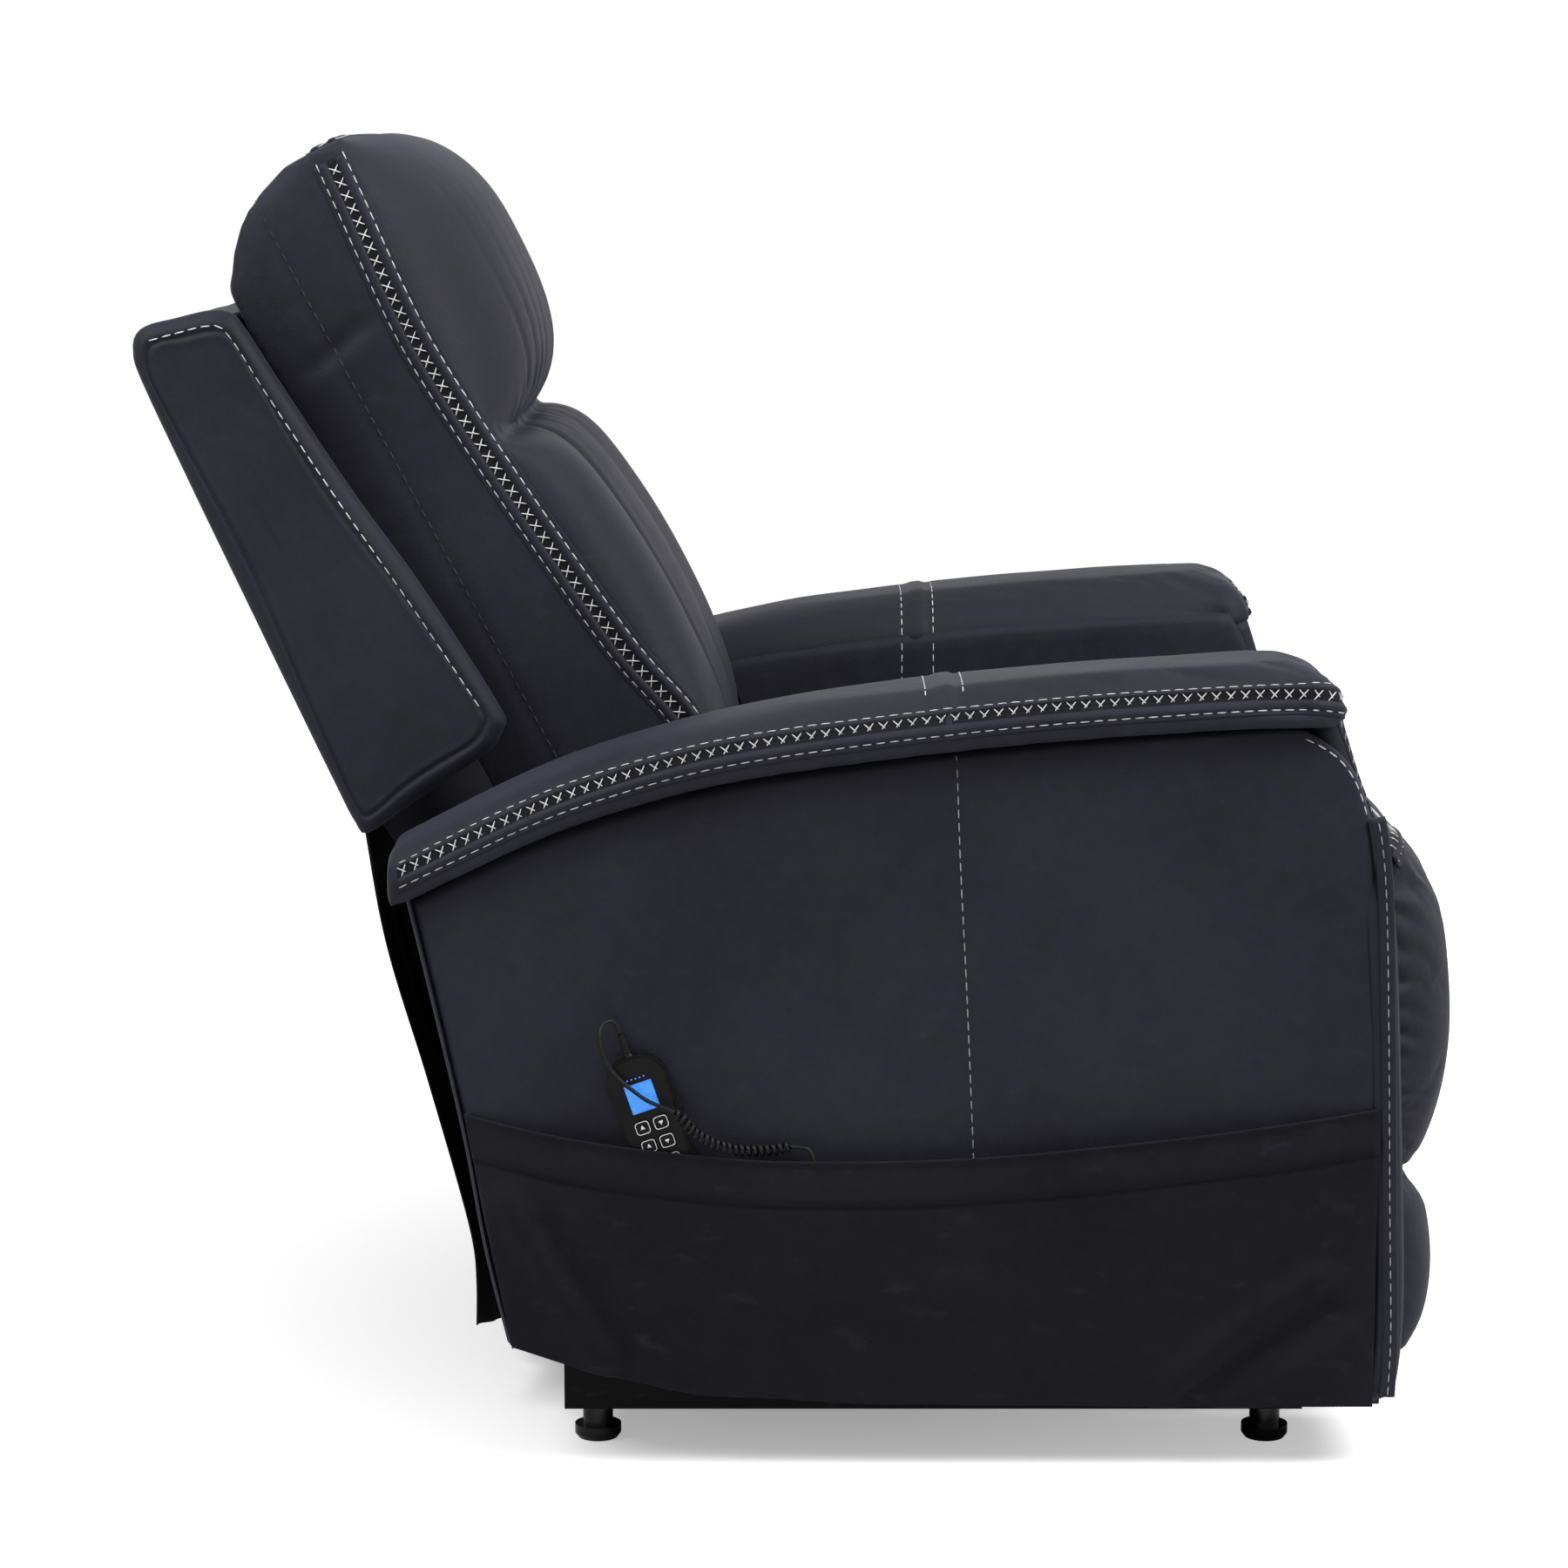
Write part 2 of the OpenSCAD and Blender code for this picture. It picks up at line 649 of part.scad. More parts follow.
// Inner board that stands on the lift frame, and the rear closing board
module arm_frame(side) {
  board_rear = -290;
  color(timber) on_side(side) {
    slab(seat_half, inner_t) intersection() {
      arm_outline(end_t + 2);
      translate([board_rear, frame_top]) square([arm_front - board_rear, arm_h]);
    }
    slab(inner_out, outer_in - inner_out) polygon(concat([for (i = [0 : 3]) arm_rear_line[i]],
      [for (i = [3 : -1 : 0]) arm_rear_line[i] + [end_t, 0]]));
  }
}

// Padded cap: a flat underside and a rounded top, lofted along the arm
module arm_cap(side) {
  arch = [for (k = [0 : 12]) 180 * k / 12];
  mid = (cap_in + cap_out) / 2;
  half = (cap_out - cap_in) / 2;
  nose_l = 41;
  nose_turn = 84;
  nose_steps = 4;
  // Each ring of the loft: [x, height of its top, share of the full width, depth]
  tail = [[arm_crest[0].x, arm_crest[0].y, 0.9, 0.5 * cap_t]];
  body = [for (i = [1 : len(arm_crest) - 1]) [arm_crest[i].x, arm_crest[i].y, 1, cap_t]];
  nose = [for (k = [1 : nose_steps]) let (a = nose_turn * k / nose_steps, h = cap_t * pow(cos(a), 0.7))
    [nose_x + nose_l * sin(a), arm_h - cap_t + h, 1 - 0.1 * pow(sin(a), 4), h]];
  rings = [for (p = concat(tail, body, nose)) let (h = p[3])
    [for (a = arch) [p.x, mid + p[2] * half * signed_power(cos(a), 0.45), p.y - h + h * pow(sin(a), 0.5)]]];
  color(leather) on_side(side) loft(rings);
}

// Pocket sewn to the right arm's outer panel along its ends and its lower edge
pocket_line = [[-286, 306], [-188, 291], [-26, 271], [200, 279], [arm_front - 30, 311]];

module side_pocket() {
  top = curve(pocket_line, 4);
  rows = 6;
  x0 = pocket_line[0].x;
  x1 = pocket_line[4].x;
  function floor_z(x) = lookup(x, arm_hem_line) + 4;
  function gap(x, t) = soft_gap + pocket_gap * (1 - t * t) * (1 - pow(abs(2 * (x - x0) / (x1 - x0) - 1), 6));
  function point(p, t, out) = let (x = p.x + (p.x < -200 ? 40 * t : 0))
    [x, -(arm_out + gap(p.x, t) + out), p.y + t * (floor_z(x) - p.y)];
  rings = [for (p = top) concat([for (k = [0 : rows]) point(p, k / rows, pocket_t)],
    [for (k = [rows : -1 : 0]) point(p, k / rows, 0)])];
  color(leather) loft(rings);
}

cloth_top = back_hinge + turn([panel_n + back_panel_t / 2, panel_s - 2.6], back_tilt);

// Dust cloth that hangs from the outside back to the rear of the lift frame
cloth_line = [cloth_top, [-366, 423], [-330, 300], [-301, 198], [-286, 140], [-283, 95]];

module rear_dust_cloth() {
  line = curve(cloth_line, 3);
  across = 24;
  half = cushion_half;
  cloth_t = 2;
  fold_depth = 6;
  hang_back = 4;
  function fold(i, y) = fold_depth * i / len(line) * sin(3 * 360 * y / (2 * half) + 40);
  function edge(p, i, x) = [for (k = [0 : across]) let (y = -half + 2 * half * k / across)
    [p.x + x - hang_back + fold(i, y), y, p.y]];
  rings = [for (i = [0 : len(line) - 1]) concat(edge(line[i], i, 0),
    [for (k = [across : -1 : 0]) edge(line[i], i, cloth_t)[k]])];
  color(dust_black) loft(rings);
}

module back_hinge_brackets() {
  color(dark_steel) both_sides() {
    slab(plate_in, plate_t) polygon([[back_hinge.x - 45, frame_top], [back_hinge.x + 75, frame_top],
      [back_hinge.x + 22, back_hinge.y - 10], [back_hinge.x + 16, back_hinge.y + 16],
      [back_hinge.x - 16, back_hinge.y + 16], [back_hinge.x - 24, back_hinge.y - 10]]);
    pin(back_hinge, cushion_half + joint_gap, plate_in, back_pin_d + 10);
    pin(back_hinge, cushion_half - stile_w - 1, cushion_half + joint_gap, back_pin_d);
  }
}

module control_box() {
  y1 = seat_rail_out - seat_rail_w;
  y0 = y1 - 90;
  x0 = -80;
  length = 150;
  sockets = 5;
  socket_pitch = 27;
  socket = [16, 16, 12];
  color(black_plastic) difference() {
    box(x0, x0 + length, y0, y1, seat_frame_z - 2, seat_frame_z + 36);
    for (i = [0 : sockets - 1]) translate([x0 + 20 + socket_pitch * i, y0, seat_frame_z + 16])
      cube(socket, center = true);
  }
}

// Handset and its cord

module at_handset() {
  translate([handset_top.x, 0, handset_top.y]) rotate([0, -handset_lean, 0]) children();
}

// Outline with a rounded head and a slightly narrower tail, in plane, below its top
module handset_outline(d) {
  head = 21;
  hull() {
    for (s = [-1, 1]) {
      translate([s * (handset_w / 2 - head + 3), -head]) circle(r = head - d, $fn = 32);
      translate([s * (handset_w / 2 - 12), -handset_l + 10]) circle(r = 10 - d, $fn = 32);
    }
  }
}

module handset_slab(y, t) {
  at_handset() slab(-y - t, t) children();
}

function button_at(i) = [(i % 2 - 0.5) * button_spread, -button_first - floor(i / 2) * button_pitch];

module button_outline(i, d) {
  size = [button_w, button_l] - 2 * button_r * [1, 1] + 2 * d * [1, 1];
  translate(button_at(i)) offset(r = button_r) square(size, center = true);
}

// Hole in the handset's top for the sleeve of its cord
module cord_hole() {
  at_sleeve() translate([0, 0, -8]) cylinder(h = 20, d = sleeve_d + 2 * run_fit);
}

module at_sleeve() {
  at_handset() translate([0, -handset_y - handset_t / 2, 0]) children();
}

module handset_front() {
  edge_t = 2;
  edge_in = 1.5;
  color(black_plastic) difference() {
    union() {
      handset_slab(handset_y + handset_t / 2, handset_t / 2 - edge_t) handset_outline(0);
      handset_slab(handset_face - edge_t, edge_t) handset_outline(edge_in);
    }
    handset_slab(handset_y, handset_t - shell_t) handset_outline(shell_t + 1);
    for (i = [0 : 2 * button_rows - 1]) handset_slab(handset_face - 2 * shell_t, 4 * shell_t)
      button_outline(i, button_fit);
    handset_slab(handset_face - 2 * shell_t, 4 * shell_t) translate(window_at) square(window, center = true);
    cord_hole();
  }
}

module handset_back() {
  color(black_plastic) difference() {
    handset_slab(handset_y, handset_t / 2) handset_outline(0);
    handset_slab(handset_y + shell_t, handset_t) handset_outline(shell_t + 1);
    cord_hole();
  }
}

module handset_display() {
  color(screen_blue) handset_slab(handset_face - shell_t, 1.6) translate(window_at)
    square(window - 2 * window_fit * [1, 1], center = true);
}

// Tapered sleeve with a flange that sits in the top of the handset
module handset_strain_relief() {
  r = sleeve_d / 2;
  color(black_plastic) at_sleeve() rotate_extrude() polygon([[0, -5], [r, -5], [r, 1], [r - 0.8, 3],
    [cord_d / 2 + 0.9, sleeve_l], [0, sleeve_l]]);
}

module handset_button(i) {
  color(black_plastic) handset_slab(handset_face - button_h, button_h + button_proud) button_outline(i, 0);
}

module handset_lead() {
  color(black_plastic) {
    loft(tube_rings(lead_route, cord_d / 2, 8, [0, 1, 0]));
    loft(tube_rings(tail_route, cord_d / 2, 8, [0, 1, 0]));
  }
}

// Helix about the coil route: straight for one cord diameter at each end
coil_rings_per_curl = 8;
function run_lengths(p, i = 0, s = 0) = i == len(p) - 1 ? [s] :
  concat([s], run_lengths(p, i + 1, s + norm(p[i + 1] - p[i])));
function coil_line() = let (p = curve(coil_route, 6), s = run_lengths(p), m = len(p) - 1,
    n = curls * coil_rings_per_curl)
  [for (k = [0 : n]) [for (c = [0 : 2]) lookup(s[m] * k / n, [for (i = [0 : m]) [s[i], p[i][c]]])]];
function coil_points() = let (p = coil_line(), d = directions(p), u = frames(d, [0, 0, 1]), n = len(p) - 1)
  [for (k = [0 : n]) let (a = 360 * k / coil_rings_per_curl, w = cross(d[k], u[k]),
    ease = min(1, max(0, min(k, n - k) - 5) / 8))
    p[k] + ease * (coil_d - cord_d) / 2 * (cos(a) * u[k] + sin(a) * w)];

module handset_coil() {
  color(black_plastic) loft(tube_rings(coil_points(), cord_d / 2, 6, [0, 0, 1]));
}

// Least gap between neighbouring curls, from points about one curl apart
coil_track = coil_points();
coil_end = 13;
coil_gap = min([for (k = [coil_end : len(coil_track) - coil_end], j = [6 : 10])
  if (k + j < len(coil_track) - coil_end) norm(coil_track[k + j] - coil_track[k])]) - cord_d;
echo(coil_self_gap = coil_gap);
// Joint travels that follow from the linkage
echo(chair_pitch = chair_pitch, front_link_travel = front_link_travel, control_travel = control_travel);

module cord_gland() {
  color(black_plastic) translate([gland_at.x, -arm_out, gland_at.y]) rotate([90, 0, 0])
    rotate_extrude() polygon([[0, 0], [gland_d / 2, 0], [gland_d / 2, 2], [gland_d / 2 - 3, gland_l],
      [0, gland_l]]);
}

// Legrest

module leg_link(p, q, layer, bores) {
  slab(layer, link_t) difference() {
    bar(p, q, link_w);
    holes(bores, pin_d + 2 * run_fit);
  }
}

module legrest_drive_links() {
  color(bright_steel) {
    both_sides() {
      leg_link(leg_a, leg_f, drive_layer, [leg_a]);
      pin(leg_c, cross_layer - lay_gap / 2, drive_layer + link_t / 2, pin_d);
      pin(leg_f, drive_layer + link_t / 2, tip_layer + link_t + lay_gap / 2, pin_d);
    }
    pin(leg_torque, -drive_layer + joint_gap, drive_layer - joint_gap, torque_d);
    lugs(leg_lug, leg_torque, leg_actuator_y, false);
  }
}

module legrest_cross_links() {
  color(bright_steel) both_sides() leg_link(leg_d, leg_e, cross_layer, [leg_c, leg_e]);
}

// The end at leg_d is the open pivot: its rivet stays inside the link
module legrest_control_links() {
  color(bright_steel) both_sides() {
    leg_link(leg_b, leg_d, control_layer, [leg_b]);
    pin(leg_d, control_layer - lay_gap, control_layer + link_t / 2, pin_d + 4);
  }
}

module legrest_tip_links() {
  color(bright_steel) both_sides() leg_link(leg_f, leg_g, tip_layer, [leg_f, leg_g]);
}

module legrest_board() {
  color(timber) difference() {
    box(board_back, board_front, -pad_half, pad_half, board_z0, board_z1);
    for (y = [-breather_y, 0, breather_y]) breather(y, (leg_e.y + leg_g.y) / 2);
  }
}

// Breather hole through the legrest board
module breather(y, z) {
  translate([board_back - 1, y, z]) rotate([0, 90, 0]) cylinder(h = board_t + 2, d = breather_d);
}

module legrest_brackets() {
  foot_w = 26;
  foot_z0 = leg_g.y - link_w / 2;
  foot_z1 = leg_e.y + link_w / 2;
  color(bright_steel) both_sides() {
    slab(drive_layer, link_t) {
      bar(leg_e, [board_back - link_w / 2, leg_e.y], link_w);
      bar(leg_g, [board_back - link_w / 2, leg_g.y], link_w);
      polygon([[leg_e.x, leg_e.y], [leg_g.x, leg_g.y], [board_back, leg_g.y], [board_back, leg_e.y]]);
      translate([board_back - 12, foot_z0]) square([12, foot_z1 - foot_z0]);
    }
    box(board_back - 4, board_back, drive_layer - foot_w, drive_layer, foot_z0, foot_z1);
    pin(leg_e, cross_layer - lay_gap / 2, drive_layer + link_t / 2, pin_d);
    pin(leg_g, drive_layer + link_t / 2, tip_layer + link_t + lay_gap / 2, pin_d);
  }
}

// A pad on the legrest board: its front line in X and Z, swelling towards the middle
module leg_pad(front, back_x, top_back) {
  n = 14;
  edge = 6;
  pull = 8;
  line = curve(front, 3);
  z_mid = (front[0].y + front[len(front) - 1].y) / 2;
  z_half = abs(front[0].y - front[len(front) - 1].y) / 2;
  function rear_x(z) = top_back > 0 && z > board_z1 + 3 ? top_back : back_x;
  function half_at(z) = pad_half - pull + pull * pow(abs((z - z_mid) / z_half), 2);
  rings = [for (p = line) let (half = half_at(p.y), r = rear_x(p.y))
    concat([for (k = [0 : n]) let (c = -cos(180 * k / n))
      [r + edge + (p.x - r - edge) * pow(1 - pow(abs(c), 6), 0.5), half * signed_power(c, 0.6), p.y]],
      [[r, half, p.y], [r, -half, p.y]])];
  color(leather) loft(rings);
}

module legrest_upper_pad() {
  leg_pad([[500, 520], [524, 504], [550, 456], [568, 400], [574, 340], [570, 285], [556, 228], [539, 207]],
    board_front + soft_gap, 430);
}

module legrest_lower_pad() {
  leg_pad([[538, 197], [551, 169], [560, 118], [556, 70], [540, 38]], board_front + soft_gap, 0);
}

// Back

module at_back() {
  translate([back_hinge.x, 0, back_hinge.y]) rotate([0, -back_tilt, 0]) children();
}

// Side outline of a stile, whose rear edge follows the outside back panel
module stile_outline(s0, s1) {
  bend = panel_s + (stile_n0 - soft_gap - panel_in(panel_s)) / panel_slant * (back_len - 18 - panel_s);
  polygon([[stile_n0, s0], [stile_n1, s0], [stile_n1, s1], [stile_rear(s1), s1], [stile_n0, bend]]);
}

// Two stiles, three rails, the hinge tube with its crank, and the pillow's hinge arms
module back_frame() {
  upper_s = back_len - 42;
  rail_s = [arm_clear_s, 440, upper_s - 36];
  rail_h = 36;
  rail_n1 = stile_n1 - 8;
  rail_half = cushion_half - stile_w - joint_gap;
  arm_y = cushion_half - head_arm_in;
  color(dark_steel) {
    at_back() {
      both_sides() {
        difference() {
          union() {
            slab(cushion_half - stile_w, stile_w) stile_outline(-20, upper_s);
            slab(cushion_half - 1, wing_in - cushion_half + 1) stile_outline(arm_clear_s, upper_s);
            slab(cushion_half - stile_w, stile_w) bar([0, 0], [(stile_n0 + stile_n1) / 2, 40], 40);
          }
          pin([0, 0], cushion_half - stile_w - 2, cushion_half + 2, back_pin_d + 2 * run_fit);
        }
        slab(arm_y, lug_t) {
          translate([rail_n1 + joint_gap, head_hinge.y - 17]) square([8, 22]);
          translate([rail_n1 + joint_gap, head_hinge.y - head_arm_h / 2])
            square([head_hinge.x - rail_n1 - joint_gap, head_arm_h]);
          translate(head_hinge) circle(d = head_eye_d);
        }
        pin(head_hinge, arm_y - lug_t - lay_gap - 1, arm_y + lug_t, head_pin_d);
      }
      for (s = rail_s)
        box(stile_rear(s + rail_h), rail_n1, -rail_half, rail_half, s, s + rail_h);
      lugs(head_tail, [head_tail.x, rail_s[0] + rail_h - 6], 0, true);
    }
    difference() {
      pin(back_hinge, -rail_half, rail_half, 30);
      pin(back_hinge, -cushion_half - 1, cushion_half + 1, back_pin_d + 4);
    }
    lugs(crank_end, polar(back_hinge, 10, crank_angle), recline_y, false);
  }
}

module outside_back_panel() {
  color(leather) at_back() slab(-wing_in, 2 * wing_in)
    polygon([[panel_n, panel_s], [panel_n + panel_slant, back_len - 8], [panel_n + panel_slant + 8, back_len],
      [24, back_len - 18], [24, back_len - 34], [panel_n + panel_slant + back_panel_t, back_len - 18],
      [panel_n + back_panel_t, panel_s]]);
}

module back_wing(side) {
  corner = 20;
  color(leather) on_side(side) at_back() slab(wing_in, wing_t) hull() {
    translate([panel_n + corner, arm_clear_s + 6 + corner]) circle(r = corner, $fn = 32);
    translate([88 - corner, arm_clear_s + 4 + corner]) circle(r = corner, $fn = 32);
    translate([46 - corner, back_len - 20 - corner]) circle(r = corner, $fn = 32);
    translate([panel_n + panel_slant - 2 + corner, back_len - corner]) circle(r = corner, $fn = 32);
  }
}

// Back cushion: two side bolsters and a middle channel, in rings up the back
bolster_line = [[228, 122], [240, 150], [252, 220], [254, 300], [250, 370], [238, 430], [214, 458]];
side_seam_line = [[216, 122], [221, 190], [203, 265], [189, 366], [180, 430], [176, 458]];

module back_cushion() {
  n = 30;
  line = curve(bolster_line, 2);
  rear_n = stile_n1 + soft_gap;
  recess_n = 36;
  recess_half = 56;
  edge_pull = 14;
  full_depth = 40;
  share = channel_depth / full_depth;
  function seam(s) = lookup(s, [for (p = side_seam_line) [p.y, p.x]]);
  function swell(y) = let (v = abs(y), c = channel_half)
    v < c ? cos(90 * v / c) * 0.35 + 0.65 * (1 - pow(v / c, 4)) :
    sin(180 * pow((v - c) / (cushion_half - c), 0.8));
  rings = [for (p = line) let (e = seam(p.y), fade = min(1, (p.y - 100) / 60, (490 - p.y) / 60))
    concat([for (k = [0 : n]) let (y = cushion_half * sin(90 * (2 * k / n - 1)))
      [e + (p.x - e) * (1 - share * fade * (1 - swell(y))) - edge_pull * pow(abs(y) / cushion_half, 10),
        y, p.y]],
      [[rear_n, cushion_half - 2, p.y], [rear_n, recess_half + 6, p.y], [recess_n, recess_half, p.y],
        [recess_n, -recess_half, p.y], [rear_n, -recess_half - 6, p.y], [rear_n, -cushion_half + 2, p.y]])];
  color(leather) at_back() loft(rings);
}

// Head board behind the pillow, with the lugs of its hinge and of its drive
module headrest_frame() {
  lug_y = cushion_half - head_arm_in - lay_gap - lug_t;
  n0 = 30;
  n1 = 45;
  color(timber) at_back() {
    difference() {
      box(n0, n1, -lug_y + joint_gap, lug_y - joint_gap, pillow_z + 2, back_len - 38);
      box(n0 - 1, n1 + 1, -eye_t, eye_t, pillow_z, head_eye.y - 2);
    }
    both_sides() slab(lug_y, lug_t) difference() {
      union() {
        translate([n0, head_hinge.y - head_arm_h / 2]) square([n1 - n0, 60]);
        translate([n0, head_hinge.y - head_arm_h / 2]) square([head_hinge.x - n0, head_arm_h]);
        translate(head_hinge) circle(d = head_eye_d);
      }
      translate(head_hinge) circle(d = head_pin_d + 2 * run_fit);
    }
    lugs(head_eye, head_eye + [12, 0], 0, false);
  }
}

// Head pillow: a swollen front over a flat rear, closing in towards its rounded top
pillow_front = [[206, 0], [230, 14], [252, 42], [267, 80], [272, 131], [270, 194], [247, 250], [209, 279]];
pillow_rear = [[48, 0], [48, 206], [70, 238], [98, 264], [135, 276], [160, 279]];
pillow_seam = [[175, 0], [171, 110], [175, 210], [178, 270], [180, 279]];

module headrest_pillow() {
  n = 22;
  rise = pillow_h / 281;
  line = curve(pillow_front, 2);
  function rear(s) = lookup(s, [for (p = pillow_rear) [p.y, p.x]]);
  function seam(s) = lookup(s, [for (p = pillow_seam) [p.y, p.x]]);
  rings = [for (p = line) let (e = seam(p.y), r = rear(p.y), half = cushion_half - 10 * pow(p.y / 281, 6)
    - 7 * pow(sin(180 * p.y / 281), 2))
    concat([for (k = [0 : n]) let (y = sin(90 * (2 * k / n - 1)))
      [max(r + 2, e + (p.x - e) * pillow_swell / 100 * pow(max(0, 1 - pow(abs(y), 2.6)), 0.7)), half * y,
        pillow_z + soft_gap + rise * p.y]],
      [[r, half - 2, pillow_z + soft_gap + rise * p.y], [r, -half + 2, pillow_z + soft_gap + rise * p.y]])];
  color(leather) at_back() loft(rings);
}

// Linear drives

module lift_actuator_body() {
  color(black_plastic) along(lift_tail, lift_eye, 0)
    drive_body(norm(lift_eye - lift_tail) - lift_out, tube_d, motor_d, 1);
}

module lift_actuator_rod() {
  length = norm(lift_eye - lift_tail);
  color(bright_steel) along(lift_tail, lift_eye, 0)
    drive_rod(length, lift_in, tube_d, eye_pin_d + 2 * lift_eye_play);
}

module recline_actuator_body() {
  color(black_plastic) along(recline_tail, crank_end, recline_y)
    drive_body(norm(crank_end - recline_tail) - recline_out, tube_d, motor_d, 1);
}

module recline_actuator_rod() {
  length = norm(crank_end - recline_tail);
  color(bright_steel) along(recline_tail, crank_end, recline_y) drive_rod(length, recline_in, tube_d, 0);
}

module legrest_actuator_body() {
  color(black_plastic) along(leg_tail, leg_lug, leg_actuator_y)
    drive_body(norm(leg_lug - leg_tail) - leg_out, tube_d, motor_d, -1);
}

module legrest_actuator_rod() {
  length = norm(leg_lug - leg_tail);
  color(bright_steel) along(leg_tail, leg_lug, leg_actuator_y) drive_rod(length, leg_in, tube_d, 0);
}

module headrest_actuator_body() {
  color(black_plastic) at_back() along(head_tail, head_eye, 0)
    drive_body(norm(head_eye - head_tail) - head_out, head_tube_d, head_motor_d, 1);
}

module headrest_actuator_rod() {
  length = norm(head_eye - head_tail);
  color(bright_steel) at_back() along(head_tail, head_eye, 0) drive_rod(length, head_in, head_tube_d, 0);
}

base_side_rails();
base_cross_tubes();
glide_feet();
power_supply();
rear_lift_links();
front_lift_links();
lift_frame_rails();
lift_frame_cross_tubes();
mechanism_side_plates();
seat_frame();
seat_webbing();
seat_cushion();
arm_outer_panel(-1);  // arm_outer_panel_right
arm_outer_panel(1);  // arm_outer_panel_left
arm_frame(-1);  // arm_frame_right
arm_frame(1);  // arm_frame_left
arm_cap(-1);  // arm_cap_right
arm_cap(1);  // arm_cap_left
arm_front_panel(-1);  // arm_front_panel_right
arm_front_panel(1);  // arm_front_panel_left
side_pocket();
rear_dust_cloth();
back_hinge_brackets();
control_box();
handset_front();
handset_back();
handset_display();
handset_strain_relief();
handset_lead();
handset_coil();
cord_gland();
handset_button(0);  // button_1
handset_button(1);  // button_2
handset_button(2);  // button_3
handset_button(3);  // button_4
handset_button(4);  // button_5
handset_button(5);  // button_6
legrest_drive_links();
legrest_cross_links();
legrest_control_links();
legrest_tip_links();
legrest_board();
legrest_brackets();
legrest_upper_pad();
legrest_lower_pad();
back_frame();
outside_back_panel();
back_wing(-1);  // back_wing_right
back_wing(1);  // back_wing_left
back_cushion();
headrest_frame();
headrest_pillow();
lift_actuator_body();
lift_actuator_rod();
recline_actuator_body();
recline_actuator_rod();
legrest_actuator_body();
legrest_actuator_rod();
headrest_actuator_body();
headrest_actuator_rod();
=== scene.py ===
import math
import bmesh
import bpy
import numpy as np
from mathutils.bvhtree import BVHTree
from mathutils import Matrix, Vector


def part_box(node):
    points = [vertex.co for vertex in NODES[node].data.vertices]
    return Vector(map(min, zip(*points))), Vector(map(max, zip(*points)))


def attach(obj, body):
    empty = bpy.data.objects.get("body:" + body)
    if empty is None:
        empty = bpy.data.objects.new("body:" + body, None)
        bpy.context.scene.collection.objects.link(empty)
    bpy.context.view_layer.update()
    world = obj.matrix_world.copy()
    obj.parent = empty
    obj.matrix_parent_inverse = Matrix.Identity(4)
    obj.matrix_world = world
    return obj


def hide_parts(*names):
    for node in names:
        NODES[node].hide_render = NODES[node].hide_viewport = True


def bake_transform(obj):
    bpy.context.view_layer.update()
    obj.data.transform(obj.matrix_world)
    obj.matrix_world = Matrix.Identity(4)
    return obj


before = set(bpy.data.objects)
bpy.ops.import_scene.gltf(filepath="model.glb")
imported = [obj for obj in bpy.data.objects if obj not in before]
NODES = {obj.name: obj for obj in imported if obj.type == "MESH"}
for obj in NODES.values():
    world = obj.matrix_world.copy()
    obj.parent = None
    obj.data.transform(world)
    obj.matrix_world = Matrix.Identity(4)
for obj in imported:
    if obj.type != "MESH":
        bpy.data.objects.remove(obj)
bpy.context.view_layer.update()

# Sizes of the chair, in metres: X forward, Y to the sitter's left, Z up
BACK_HINGE = np.array([-0.215, 0.345])
BACK_TILT = math.radians(28)
ARM_OUT = 0.424
ARM_IN = 0.282
CAP_IN = 0.276
CAP_OUT = 0.446
CUSHION_HALF = 0.262
WING_IN = 0.300
WING_OUT = 0.335
THREAD = 0.00055
STITCH = 0.0078
STITCH_PITCH = 0.0112
CROSS_PITCH = 0.0119
CROSS_WIDE = 0.0078
CROSS_HIGH = 0.0086
SIDES = ((-1, "right"), (1, "left"))

# Camera, at the photograph's angle
CAMERA_AT = (-0.026, -3.838, 1.114)
CAMERA_DOWN = math.radians(8.8)
CAMERA_LENS = 96.24


# Curves

def resample(line, count):
    """Points at even steps of arc length along a polyline."""
    line = np.asarray(line, float)
    run = np.concatenate([[0], np.cumsum(np.linalg.norm(np.diff(line, axis=0), axis=1))])
    at = np.linspace(0, run[-1], count)
    return np.stack([np.interp(at, run, line[:, k]) for k in range(line.shape[1])], axis=1)


def spline(points, count):
    """Catmull-Rom curve through the points, at even steps of arc length."""
    p = np.asarray(points, float)
    q = np.vstack([2 * p[0] - p[1], p, 2 * p[-1] - p[-2]])
    t = np.linspace(0, len(p) - 1, 20 * len(p))
    i = np.minimum(t.astype(int), len(p) - 2)
    f = (t - i)[:, None]
    a, b, c, d = q[i], q[i + 1], q[i + 2], q[i + 3]
    line = b + 0.5 * f * (c - a + f * (2 * a - 5 * b + 4 * c - d + f * (3 * (b - c) + d - a)))
    return resample(line, count)


def reading(points, at, key=0, value=1):
    """Value of a smooth curve through the points where its key coordinate is at."""
    line = spline(points, 200)
    order = np.argsort(line[:, key])
    return np.interp(at, line[order, key], line[order, value])


def distance(points, line):
    """Least distance from each point to a polyline, over all its segments at once."""
    a = line[:-1]
    d = np.diff(line, axis=0)
    t = np.einsum("pkd,kd->pk", points[:, None] - a, d) / np.einsum("kd,kd->k", d, d)
    near = a + np.clip(t, 0, 1)[..., None] * d
    return np.linalg.norm(points[:, None] - near, axis=2).min(axis=1)


def directions(line):
    """Unit tangents of a polyline."""
    d = np.gradient(line, axis=0)
    return d / np.linalg.norm(d, axis=1, keepdims=True)


